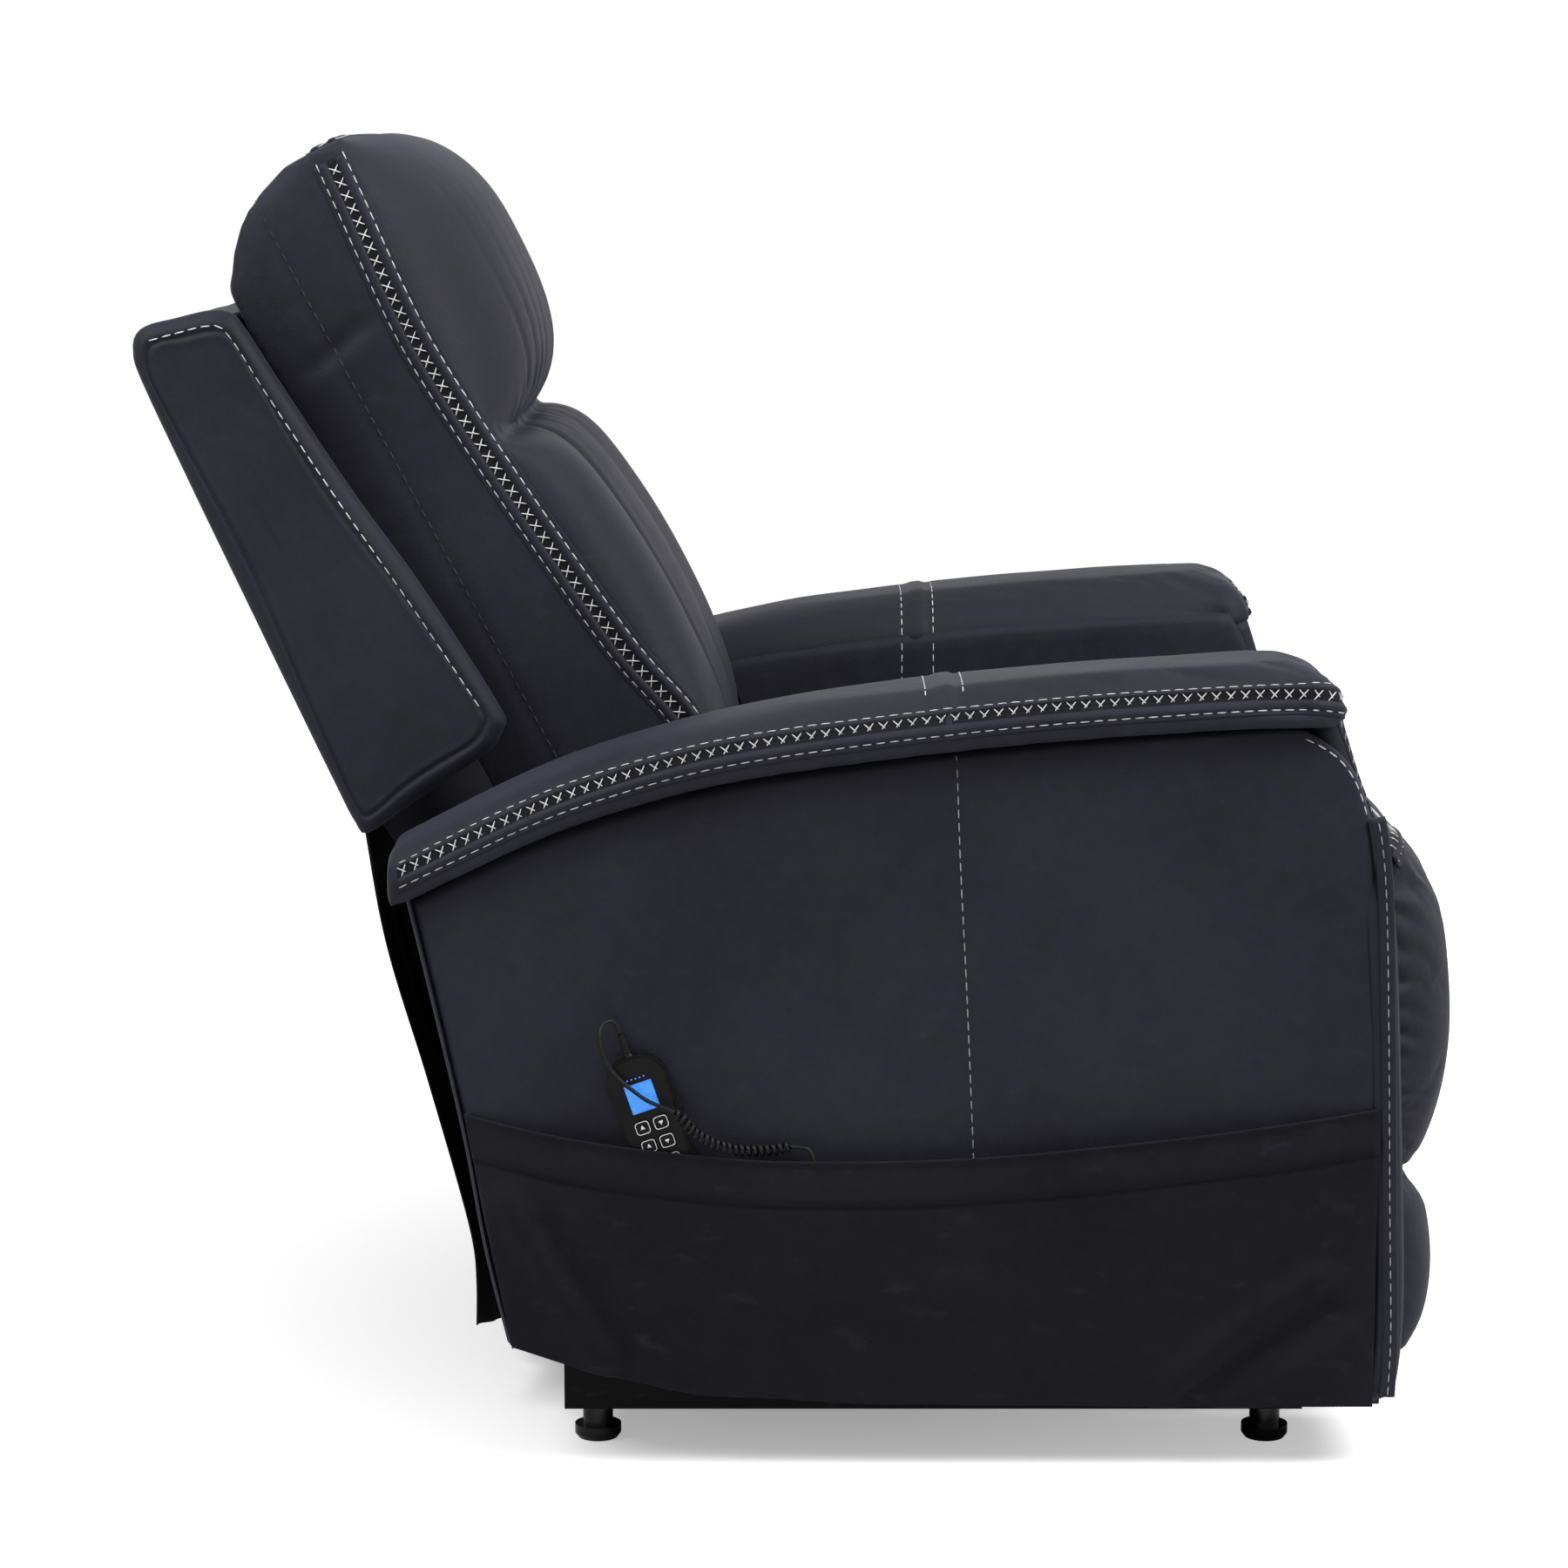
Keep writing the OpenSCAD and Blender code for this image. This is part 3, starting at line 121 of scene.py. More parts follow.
def across(tangent, hint):
    """Unit vectors square to the tangents, as near to the hint as they can be."""
    u = hint - np.sum(tangent * hint, axis=1, keepdims=True) * tangent
    return u / np.linalg.norm(u, axis=1, keepdims=True)


def back_point(n, y, s):
    """Point n in front of the back's hinge line, y to the left and s up the tilted back."""
    n, y, s = np.broadcast_arrays(n, y, s)
    c, k = math.cos(BACK_TILT), math.sin(BACK_TILT)
    return np.stack([BACK_HINGE[0] + n * c - s * k, y, BACK_HINGE[1] + n * k + s * c], axis=-1)


def back_local(p):
    """The n, y and s of points on the tilted back."""
    c, k = math.cos(BACK_TILT), math.sin(BACK_TILT)
    x, z = p[..., 0] - BACK_HINGE[0], p[..., 2] - BACK_HINGE[1]
    return x * c + z * k, p[..., 1], z * c - x * k


def ripple(p, scale, seed):
    """Smooth hand-laid unevenness: a sum of five sine waves in fixed directions."""
    rng = np.random.default_rng(seed)
    waves = rng.normal(size=(5, p.shape[-1]))
    waves *= rng.uniform(0.6, 1.5, (5, 1)) / np.linalg.norm(waves, axis=1, keepdims=True) / scale
    return np.sin(2 * math.pi * (p @ waves.T) + rng.uniform(0, 6.28, 5)).mean(axis=-1)


# Meshes

def quads(rows, columns, wrap_rows=False, wrap_columns=False):
    """Corner numbers of the quads of a grid of points."""
    r = np.arange(rows if wrap_rows else rows - 1)[:, None]
    c = np.arange(columns if wrap_columns else columns - 1)[None]
    r2, c2 = (r + 1) % rows, (c + 1) % columns
    corners = [r * columns + c, r * columns + c2, r2 * columns + c2, r2 * columns + c]
    return np.stack(corners, axis=-1).reshape(-1, 4)


def add_piece(name, points, faces, material, outward=True):
    """New object at the origin from points and faces, smooth, with its faces turned outwards."""
    mesh = bpy.data.meshes.new(name)
    mesh.from_pydata(np.asarray(points).reshape(-1, 3), [], [list(map(int, f)) for f in faces])
    if outward:
        work = bmesh.new()
        work.from_mesh(mesh)
        bmesh.ops.recalc_face_normals(work, faces=work.faces)
        work.to_mesh(mesh)
        work.free()
    mesh.polygons.foreach_set("use_smooth", np.ones(len(mesh.polygons), bool))
    mesh.update()
    piece = bpy.data.objects.new(name, mesh)
    bpy.context.scene.collection.objects.link(piece)
    if material:
        mesh.materials.append(material)
    return piece


def loft(name, rings, material):
    """Closed body through rings of points, with a flat face at each end."""
    rows, columns = rings.shape[:2]
    ends = [list(range(columns))[::-1], list(range((rows - 1) * columns, rows * columns))]
    return add_piece(name, rings, quads(rows, columns, wrap_columns=True).tolist() + ends, material)


BAND_SINK = 0.004


def band(name, line, normal, width, height, material):
    """Flat sewn band along a line: a half-round section of that width and height, sunk a little into the
    surface."""
    side = np.cross(directions(line), normal)
    a = np.linspace(0, math.pi, 9)
    x = np.concatenate([np.cos(a), [-0.9, 0.9]]) * width / 2
    z = np.concatenate([np.sin(a) ** 0.6 * height, [-BAND_SINK, -BAND_SINK]])
    rings = line[:, None] + x[None, :, None] * side[:, None] + z[None, :, None] * normal[:, None]
    return loft(name, rings, material)


def coons(bottom, top, rear, front, u, v):
    """Grid between four border curves that meet at the corners: the sum of both rulings less the plane
    through the corners."""
    def at(line, steps):
        """Points at those shares of a curve."""
        share = np.linspace(0, 1, len(line))
        return np.stack([np.interp(steps, share, line[:, k]) for k in (0, 1)], -1)

    b, t, r, f = at(bottom, u), at(top, u), at(rear, v), at(front, v)
    u, v = u[:, None, None], v[None, :, None]
    ruled = (1 - v) * b[:, None] + v * t[:, None] + (1 - u) * r[None] + u * f[None]
    flat = (1 - u) * ((1 - v) * b[0] + v * t[0]) + u * ((1 - v) * b[-1] + v * t[-1])
    return ruled - flat


def crowded(count, k=0.55):
    """Steps from 0 to 1 that crowd towards both ends."""
    t = np.linspace(0, 1, count)
    return (1 - k) * t + k * (0.5 - 0.5 * np.cos(math.pi * t))


def border_sink(flat, radius):
    """How far the rounded border of a panel sinks: a quarter circle over the last radius to each edge."""
    def run(axis):
        """Distance along an axis of the grid to its nearer edge."""
        step = np.linalg.norm(np.diff(flat, axis=axis), axis=-1)
        pad = [(1, 0) if k == axis else (0, 0) for k in (0, 1)]
        along = np.pad(np.cumsum(step, axis=axis), pad)
        return np.minimum(along, along.max(axis=axis, keepdims=True) - along)

    q = sum(np.maximum(0, radius - run(axis)) ** 2 for axis in (0, 1))
    return radius - np.sqrt(np.maximum(0, radius ** 2 - q))


def panel(name, flat, out, depth, place, material):
    """Padded panel: a face of points at height out over a flat grid, closed behind at depth."""
    a, b = flat[..., 0], flat[..., 1]
    return closed_sheet(name, place(a, b, out), place(a, b, np.full(out.shape, -depth)), material)


def closed_sheet(name, face, rear, material):
    """Closed body between two grids of points, joined round their rims."""
    rows, columns = face.shape[:2]
    front_faces = quads(rows, columns)
    number = np.arange(rows * columns).reshape(rows, columns)
    rim = np.concatenate([number[0], number[1:, -1], number[-1, -2::-1], number[-2:0:-1, 0]])
    nxt = np.roll(rim, -1)
    shift = rows * columns
    sides = np.stack([rim, nxt, nxt + shift, rim + shift], axis=1)
    faces = np.concatenate([front_faces, front_faces[:, ::-1] + shift, sides])
    points = np.concatenate([face.reshape(-1, 3), rear.reshape(-1, 3)])
    return add_piece(name, points, faces, material)


def coordinates(piece):
    """Array of a piece's points."""
    p = np.empty(3 * len(piece.data.vertices))
    piece.data.vertices.foreach_get("co", p)
    return p.reshape(-1, 3)


def normals(piece):
    """Array of a piece's point normals."""
    n = np.empty(3 * len(piece.data.vertices))
    piece.data.vertices.foreach_get("normal", n)
    return n.reshape(-1, 3)


def set_coordinates(piece, p):
    """Puts an array of points back into a piece's mesh."""
    piece.data.vertices.foreach_set("co", np.ascontiguousarray(p, float).ravel())
    piece.data.update()


def baked(piece):
    """The piece's mesh with its modifiers applied."""
    graph = bpy.context.evaluated_depsgraph_get()
    mesh = bpy.data.meshes.new_from_object(piece.evaluated_get(graph))
    piece.modifiers.clear()
    piece.data = mesh
    mesh.polygons.foreach_set("use_smooth", np.ones(len(mesh.polygons), bool))


def subdivide(piece):
    """One even subdivision, the same in every view."""
    modifier = piece.modifiers.new("smooth", "SUBSURF")
    modifier.levels = modifier.render_levels = 1


def thicken(piece, thickness):
    """Gives a sheet its thickness, half to each side."""
    modifier = piece.modifiers.new("thickness", "SOLIDIFY")
    modifier.thickness = thickness
    modifier.offset = 0
    modifier.use_even_offset = False
    baked(piece)


SWELL_FRAMES = 16
AIR_PRESSURE = 4.0
CLOTH_STIFF = 12


def pump(pad):
    """Makes a remeshed pad cloth with air pressure inside, held fast where its own rule says so."""
    piece = pad["piece"]
    fast = np.flatnonzero(pad["held"](pad["start"]))
    piece.vertex_groups.new(name="held").add(fast.tolist(), 1.0, "REPLACE")
    cloth = piece.modifiers.new("swell", "CLOTH")
    values = dict(quality=4, mass=0.3, tension_stiffness=CLOTH_STIFF, compression_stiffness=CLOTH_STIFF,
                  bending_stiffness=0.6, use_pressure=True, uniform_pressure_force=AIR_PRESSURE,
                  vertex_group_mass="held")
    for key, value in values.items():
        setattr(cloth.settings, key, value)
    cloth.settings.effector_weights.gravity = 0
    cloth.point_cache.frame_start = 1
    cloth.point_cache.frame_end = SWELL_FRAMES


def swell(pads):
    """Padded covers pumped up like cushions. Each pad is remeshed into even voxels, swells as cloth, and
    moves at most by its cap."""
    for pad in pads:
        remesh = pad["piece"].modifiers.new("voxels", "REMESH")
        remesh.mode = "VOXEL"
        remesh.voxel_size = pad["voxel"]
        baked(pad["piece"])
        pad["start"] = coordinates(pad["piece"])
        pump(pad)
    scene = bpy.context.scene
    for number in range(1, SWELL_FRAMES + 1):
        scene.frame_set(number)
    for pad in pads:
        piece = pad["piece"]
        baked(piece)
        move = coordinates(piece) - pad["start"]
        far = np.linalg.norm(move, axis=1, keepdims=True)
        move *= np.minimum(1, pad["cap"] / np.maximum(far, 1e-9))
        set_coordinates(piece, pad["start"] + move)
        piece.vertex_groups.clear()
    scene.frame_set(1)


def shift_along_normals(piece, amount):
    """Moves each point along its normal."""
    set_coordinates(piece, coordinates(piece) + amount[:, None] * normals(piece))


def groove(d, width):
    """Sewn seam: a narrow valley with a slight swell beside it."""
    return np.exp(-(d / width) ** 2) - 0.35 * np.exp(-((d - 2.2 * width) / (1.4 * width)) ** 2)


# Stitching

def on_surface(piece, line, toward):
    """Points and normals where rays from each point of a line, in the given direction, meet a piece."""
    graph = bpy.context.evaluated_depsgraph_get()
    tree = BVHTree.FromObject(piece, graph)
    toward = np.broadcast_to(np.asarray(toward, float), line.shape)
    hits = [tree.ray_cast(p.tolist(), t.tolist()) for p, t in zip(line, toward)]
    found = [(h[0], h[1]) for h in hits if h[0] is not None]
    points = np.array([list(h[0]) for h in found]).reshape(-1, 3)
    faces = np.array([list(h[1]) for h in found]).reshape(-1, 3)
    turn = np.sign(-np.sum(faces * toward[:len(faces)], axis=1, keepdims=True))
    return points, faces * np.where(turn == 0, 1, turn)


def threads(name, middle, along, normal, length, material):
    """Stitches: a six-sided spindle of six rings for each middle, direction and normal, half sunk in the
    leather."""
    t = np.array([-1, -0.82, -0.3, 0.3, 0.82, 1.0])
    r = np.array([0.15, 0.75, 1, 1, 0.75, 0.15]) * THREAD
    a = np.linspace(0, 2 * math.pi, 6, endpoint=False)
    lift = 0.35 * THREAD * np.sqrt(1 - 0.9 * t ** 2)
    x = t[:, None] * length / 2 + 0 * a[None]
    y = r[:, None] * np.cos(a)[None]
    z = r[:, None] * np.sin(a)[None] + lift[:, None]
    basis = np.stack([along, np.cross(along, normal), normal], axis=1)
    points = middle[:, None, None] + np.einsum("ijk,nkd->nijd", np.stack([x, y, z], -1), basis)
    ends = np.array([[0, 1, 2, 3], [0, 3, 4, 5], [30, 31, 32, 33], [30, 33, 34, 35]])
    faces = np.concatenate([quads(6, 6, wrap_columns=True), ends])
    shift = 36 * np.arange(len(middle))[:, None, None]
    return add_piece(name, points.reshape(-1, 3), (faces[None] + shift).reshape(-1, 4), material)


def evenly(points, normal, pitch):
    """Places at a steady pitch along a line, with their directions and normals."""
    run = np.concatenate([[0], np.cumsum(np.linalg.norm(np.diff(points, axis=0), axis=1))])
    at = np.arange(pitch / 2, run[-1], pitch)
    pick = lambda v: np.stack([np.interp(at, run, v[:, k]) for k in range(3)], axis=1)
    n = pick(normal)
    n /= np.linalg.norm(n, axis=1, keepdims=True)
    d = across(n, pick(directions(points)))
    return pick(points), d, n


def running(name, line, normal, material=None):
    """A row of running stitches along a line."""
    middle, along, normal = evenly(line, normal, STITCH_PITCH)
    return threads(name, middle, along, normal, STITCH, material or THREAD_PALE)


def dashes(name, piece, line, toward, material=None):
    """A row of running stitches along a line laid on a piece."""
    return running(name, *on_surface(piece, line, toward), material)


def crossed(name, line, normal):
    """A row of crossed stitches along a line: one leans each way, and the second lies on the first."""
    middle, along, normal = evenly(line, normal, CROSS_PITCH)
    side = np.cross(along, normal)
    length = math.hypot(CROSS_HIGH, CROSS_WIDE)
    lean = np.concatenate([(CROSS_WIDE * along + s * CROSS_HIGH * side) / length for s in (1, -1)])
    middle = np.concatenate([middle, middle + 0.0004 * normal])
    return threads(name, middle, lean, np.concatenate([normal, normal]), length, THREAD_PALE)


STRIP_ACROSS = np.linspace(-0.0165, 0.0165, 25)
STRIP_ROWS = {"rear": 3, "cross": 12, "front": 21}
CHANNEL = 0.0046
RIDGE_AT, RIDGE_HALF, RIDGE_HIGH = 0.0082, 0.0036, 0.0021
STRIP_OVER, STRIP_SINK = 0.0007, 0.0015


def smoothed(v):
    """Values averaged with their neighbours along both axes, over five places."""
    for axis in (0, 1):
        pad = [(2, 2) if k == axis else (0, 0) for k in (0, 1)]
        wide = np.pad(v, pad, mode="edge")
        v = sum(np.take(wide, np.arange(k, k + v.shape[axis]), axis=axis) for k in range(5)) / 5
    return v


def mended(row):
    """A row whose gaps are filled by straight lines between its known values."""
    known = np.isfinite(row)
    return np.interp(np.arange(len(row)), np.flatnonzero(known), row[known]) if known.any() else row


def strip(name, piece, places, toward, reach, ride):
    """Sewn strip on a piece: rays from a grid of places meet it within the reach, and over the hits stands
    a section with flat edges, two piped ridges and a channel between them, whose faces are painted shade in
    the darker leather. A dashed row is on each edge and a crossed row between them."""
    m, k = places.shape[:2]
    toward = np.broadcast_to(np.asarray(toward, float), places.shape)
    tree = BVHTree.FromObject(piece, bpy.context.evaluated_depsgraph_get())
    rays = zip(places.reshape(-1, 3).tolist(), toward.reshape(-1, 3).tolist())
    deep = np.array([tree.ray_cast(a, b)[3] or 0.0 for a, b in rays]).reshape(m, k)
    deep = np.where((deep > 0) & (deep < reach), deep, np.nan)
    deep = smoothed(np.apply_along_axis(mended, 1, np.apply_along_axis(mended, 0, deep)))
    ridge = np.sqrt(np.maximum(0, 1 - ((np.abs(STRIP_ACROSS) - RIDGE_AT) / RIDGE_HALF) ** 2))
    base = places + toward * deep[..., None]
    top = base - toward * (STRIP_OVER + RIDGE_HIGH * ridge)[:, None]
    cover = closed_sheet(name, top, base + STRIP_SINK * toward, LEATHER)
    # The channel's faces take the darker leather: painted shade in the valley between the ridges
    cover.data.materials.append(LEATHER_DARK_AND_SHADE)
    dark = np.zeros(len(cover.data.polygons), np.int32)
    in_channel = np.abs(STRIP_ACROSS[1:] + STRIP_ACROSS[:-1]) / 2 < CHANNEL
    dark[:(m - 1) * (k - 1)] = np.tile(in_channel, m - 1)
    cover.data.polygons.foreach_set("material_index", dark)
    ride(cover)
    for kind, column in STRIP_ROWS.items():
        make = crossed if kind == "cross" else running
        ride(make(f"{name}_{kind}_stitch", top[:, column], -toward[:, column]))


# Shader groups

def group(name, inputs, outputs):
    """Empty shader group with named sockets; returns it with what its inputs give and its output node."""
    tree = bpy.data.node_groups.new(name, "ShaderNodeTree")
    for label, kind, value in inputs:
        socket = tree.interface.new_socket(name=label, in_out="INPUT", socket_type="NodeSocket" + kind)
        if value is not None:
            socket.default_value = value
    for label, kind in outputs:
        tree.interface.new_socket(name=label, in_out="OUTPUT", socket_type="NodeSocket" + kind)
    return tree, tree.nodes.new("NodeGroupInput").outputs, tree.nodes.new("NodeGroupOutput")


def node(tree, kind, links=None, **values):
    """New node: values are properties or sockets by name, and links maps sockets to what feeds them."""
    n = tree.nodes.new("ShaderNode" + kind)
    for key, value in values.items():
        if hasattr(n, key):
            setattr(n, key, value)
        else:
            n.inputs[key.replace("_", " ")].default_value = value
    for key, source in (links or {}).items():
        tree.links.new(source, n.inputs[key])
    return n


def math_node(tree, operation, a, b=None, clamp=False):
    """Math node on two sockets or numbers."""
    n = tree.nodes.new("ShaderNodeMath")
    n.operation = operation
    n.use_clamp = clamp
    for socket, value in zip(n.inputs, (a, b)):
        if isinstance(value, (int, float)):
            socket.default_value = value
        elif value is not None:
            tree.links.new(value, socket)
    return n.outputs[0]


def grain_group():
    """Leather grain: rounded cells of a Voronoi pattern over a softer crumple."""
    tree, give, take = group("leather_grain",
                             [("Vector", "Vector", None), ("Cells", "Float", 520.0),
                              ("Crumple", "Float", 0.5)],
                             [("Height", "Float"), ("Pores", "Float")])
    at = {"Vector": give["Vector"]}
    warp = node(tree, "TexNoise", at, Scale=90.0, Detail=2.0)
    push = node(tree, "VectorMath", {0: warp.outputs["Color"]}, operation="SCALE", Scale=0.004)
    moved = node(tree, "VectorMath", {0: give["Vector"], 1: push.outputs[0]}, operation="ADD")
    cells = node(tree, "TexVoronoi", {"Vector": moved.outputs[0], "Scale": give["Cells"]},
                 feature="DISTANCE_TO_EDGE")
    cell = math_node(tree, "MULTIPLY", cells.outputs["Distance"], 2.2, True)
    cell = math_node(tree, "POWER", cell, 0.5)
    crumple = node(tree, "TexNoise", at, Scale=34.0, Detail=6.0, Roughness=0.62)
    soft = math_node(tree, "MULTIPLY", crumple.outputs["Fac"], give["Crumple"])
    height = math_node(tree, "ADD", math_node(tree, "MULTIPLY", cell, 0.5), soft)
    tree.links.new(height, take.inputs["Height"])
    tree.links.new(cell, take.inputs["Pores"])
    return tree


def mottle_group():
    """Uneven dye or finish: two noises that mix a dark and a light tone."""
    tree, give, take = group("mottle",
                             [("Vector", "Vector", None), ("Dark", "Color", None), ("Light", "Color", None),
                              ("Scale", "Float", 6.0)],
                             [("Color", "Color"), ("Value", "Float")])
    at = give["Vector"]
    broad = node(tree, "TexNoise", {"Vector": at, "Scale": give["Scale"]}, Detail=3.0)
    fine_scale = math_node(tree, "MULTIPLY", give["Scale"], 14.0)
    fine = node(tree, "TexNoise", {"Vector": at, "Scale": fine_scale}, Detail=4.0)
    mixed = math_node(tree, "ADD", math_node(tree, "MULTIPLY", broad.outputs["Fac"], 0.7),
                      math_node(tree, "MULTIPLY", fine.outputs["Fac"], 0.3))
    ramp = node(tree, "MapRange", {"Value": mixed}, From_Min=0.35, From_Max=0.65).outputs[0]
    tone = node(tree, "Mix", {"Factor": ramp, "A": give["Dark"], "B": give["Light"]}, data_type="RGBA")
    tree.links.new(tone.outputs[2], take.inputs["Color"])
    tree.links.new(ramp, take.inputs["Value"])
    return tree


def wear_group():
    """Rubbed places: the peaks of a stretched noise."""
    tree, give, take = group("scuffs", [("Vector", "Vector", None), ("Amount", "Float", 0.5)],
                             [("Mask", "Float")])
    stretch = node(tree, "Mapping", {"Vector": give["Vector"]}, Scale=(1.0, 1.0, 2.2))
    noise = node(tree, "TexNoise", {"Vector": stretch.outputs[0]}, Scale=26.0, Detail=6.0, Roughness=0.6)
    patch = node(tree, "MapRange", {"Value": noise.outputs["Fac"]}, From_Min=0.60, From_Max=0.76)
    mask = math_node(tree, "MULTIPLY", patch.outputs[0], give["Amount"], True)
    tree.links.new(mask, take.inputs["Mask"])
    return tree


def weave_group():
    """Plain weave: the ribs of warp and weft, each the height of a sine wave without its sign."""
    tree, give, take = group("plain_weave", [("Vector", "Vector", None), ("Pitch", "Float", 1500.0)],
                             [("Height", "Float")])
    split = node(tree, "SeparateXYZ", {0: give["Vector"]})
    ribs = []
    for axis in "YZ":
        turn = math_node(tree, "MULTIPLY", split.outputs[axis], give["Pitch"])
        ribs.append(math_node(tree, "ABSOLUTE", math_node(tree, "SINE", turn)))
    height = math_node(tree, "MULTIPLY", math_node(tree, "ADD", *ribs), 0.5)
    tree.links.new(height, take.inputs["Height"])
    return tree


GRAIN = grain_group()
MOTTLE = mottle_group()
WEAR = wear_group()
WEAVE = weave_group()


# Materials

def finish(name, **sockets):
    """Material with a Principled shader, whose plain values are set on the shader itself."""
    material = bpy.data.materials.new(name)
    material.use_nodes = True
    tree = material.node_tree
    shader = tree.nodes["Principled BSDF"]
    for key, value in sockets.items():
        shader.inputs[key.replace("_", " ")].default_value = value
    at = tree.nodes.new("ShaderNodeTexCoord").outputs["Object"]
    return material, tree, shader, at


def place_group(tree, shared, at, **values):
    """A shared group placed in a material with its own values."""
    n = tree.nodes.new("ShaderNodeGroup")
    n.node_tree = shared
    tree.links.new(at, n.inputs["Vector"])
    for key, value in values.items():
        n.inputs[key].default_value = value
    return n


def bump(tree, shader, height, strength, distance):
    """Bump from a height into the shader's normal."""
    n = node(tree, "Bump", {"Height": height}, Strength=strength, Distance=distance)
    tree.links.new(n.outputs[0], shader.inputs["Normal"])


def rubbed(tree, at, colour, tone, amount):
    """A colour with a lighter tone on its rubbed places."""
    wear = place_group(tree, WEAR, at, Amount=amount)
    mix = node(tree, "Mix", {"Factor": wear.outputs["Mask"], "A": colour}, data_type="RGBA")
    mix.inputs["B"].default_value = tone
    return mix.outputs[2]


def gloss(tree, shader, value, rough):
    """Roughness that goes with a value from the first limit to the second."""
    n = node(tree, "MapRange", {"Value": value}, To_Min=rough[0], To_Max=rough[1])
    tree.links.new(n.outputs[0], shader.inputs["Roughness"])


def leather(name, dark, light, rough, specular):
    """Soft upholstery leather: mottled dye, pebbled grain, rubbed places and a faint bluish nap."""
    material, tree, shader, at = finish(name, Specular_IOR_Level=specular, Sheen_Weight=0.05,
                                        Sheen_Roughness=0.4, Sheen_Tint=(0.72, 0.76, 1.0, 1))
    tone = place_group(tree, MOTTLE, at, Dark=dark, Light=light, Scale=5.0)
    grain = place_group(tree, GRAIN, at, Cells=520.0, Crumple=0.55)
    worn = rubbed(tree, at, tone.outputs["Color"], (0.044, 0.044, 0.058, 1), 0.25)
    pores = node(tree, "MapRange", {"Value": grain.outputs["Pores"]}, To_Min=0.72, To_Max=1.0)
    shaded = node(tree, "Mix", {"A": worn, "B": pores.outputs[0]}, data_type="RGBA", blend_type="MULTIPLY")
    shaded.inputs["Factor"].default_value = 1.0
    tree.links.new(shaded.outputs[2], shader.inputs["Base Color"])
    gloss(tree, shader, tone.outputs["Value"], rough)
    bump(tree, shader, grain.outputs["Height"], 0.22, 0.0012)
    return material


def woven(name, dark, light, pitch, strength):
    """Woven cloth: plain weave with slightly uneven yarns."""
    material, tree, shader, at = finish(name, Specular_IOR_Level=0.2, Roughness=0.85)
    tone = place_group(tree, MOTTLE, at, Dark=dark, Light=light, Scale=9.0)
    weave = place_group(tree, WEAVE, at, Pitch=pitch)
    tree.links.new(tone.outputs["Color"], shader.inputs["Base Color"])
    bump(tree, shader, weave.outputs["Height"], strength, 0.0008)
    return material


def coated(name, dark, light, rough, peel, wear_tone=None, amount=0.5, metallic=0.0, specular=0.5):
    """Painted or plated metal and moulded plastic: fine texture, uneven gloss and rubbed places."""
    material, tree, shader, at = finish(name, Metallic=metallic, Specular_IOR_Level=specular)
    tone = place_group(tree, MOTTLE, at, Dark=dark, Light=light, Scale=12.0)
    colour = tone.outputs["Color"]
    if wear_tone:
        colour = rubbed(tree, at, colour, wear_tone, amount)
    tree.links.new(colour, shader.inputs["Base Color"])
    gloss(tree, shader, tone.outputs["Value"], rough)
    texture = node(tree, "TexNoise", {"Vector": at}, Scale=peel, Detail=3.0)
    bump(tree, shader, texture.outputs["Fac"], 0.12, 0.0006)
    return material


def plywood(name):
    """Birch plywood: long rings along X, stretched fibres and a few darker streaks."""
    material, tree, shader, at = finish(name, Roughness=0.62, Specular_IOR_Level=0.3)
    stretch = node(tree, "Mapping", {"Vector": at}, Scale=(3.0, 40.0, 40.0))
    fibre = node(tree, "TexNoise", {"Vector": stretch.outputs[0]}, Scale=4.0, Detail=8.0, Roughness=0.7)
    ring = node(tree, "TexWave", {"Vector": stretch.outputs[0]}, Scale=0.35, Distortion=6.0, Detail=3.0)
    both = math_node(tree, "ADD", math_node(tree, "MULTIPLY", fibre.outputs["Fac"], 0.6),
                     math_node(tree, "MULTIPLY", ring.outputs["Fac"], 0.4))
    tone = node(tree, "Mix", {"Factor": both}, data_type="RGBA")
    tone.inputs["A"].default_value = (0.28, 0.17, 0.08, 1)
    tone.inputs["B"].default_value = (0.52, 0.36, 0.2, 1)
    tree.links.new(tone.outputs[2], shader.inputs["Base Color"])
    bump(tree, shader, fibre.outputs["Fac"], 0.15, 0.0008)
    return material


def screen(name):
    """Backlit display: an uneven blue that glows a little, with no print on it."""
    material, tree, shader, at = finish(name, Roughness=0.12, Specular_IOR_Level=0.4, Emission_Strength=0.40)
    tone = place_group(tree, MOTTLE, at, Dark=(0.02, 0.17, 0.72, 1), Light=(0.06, 0.3, 0.92, 1), Scale=45.0)
    for socket in ("Base Color", "Emission Color"):
        tree.links.new(tone.outputs["Color"], shader.inputs[socket])
    return material


LEATHER = leather("soft_leather", (0.0150, 0.0148, 0.0222, 1), (0.0236, 0.0234, 0.0342, 1),
                  (0.50, 0.64), 0.11)
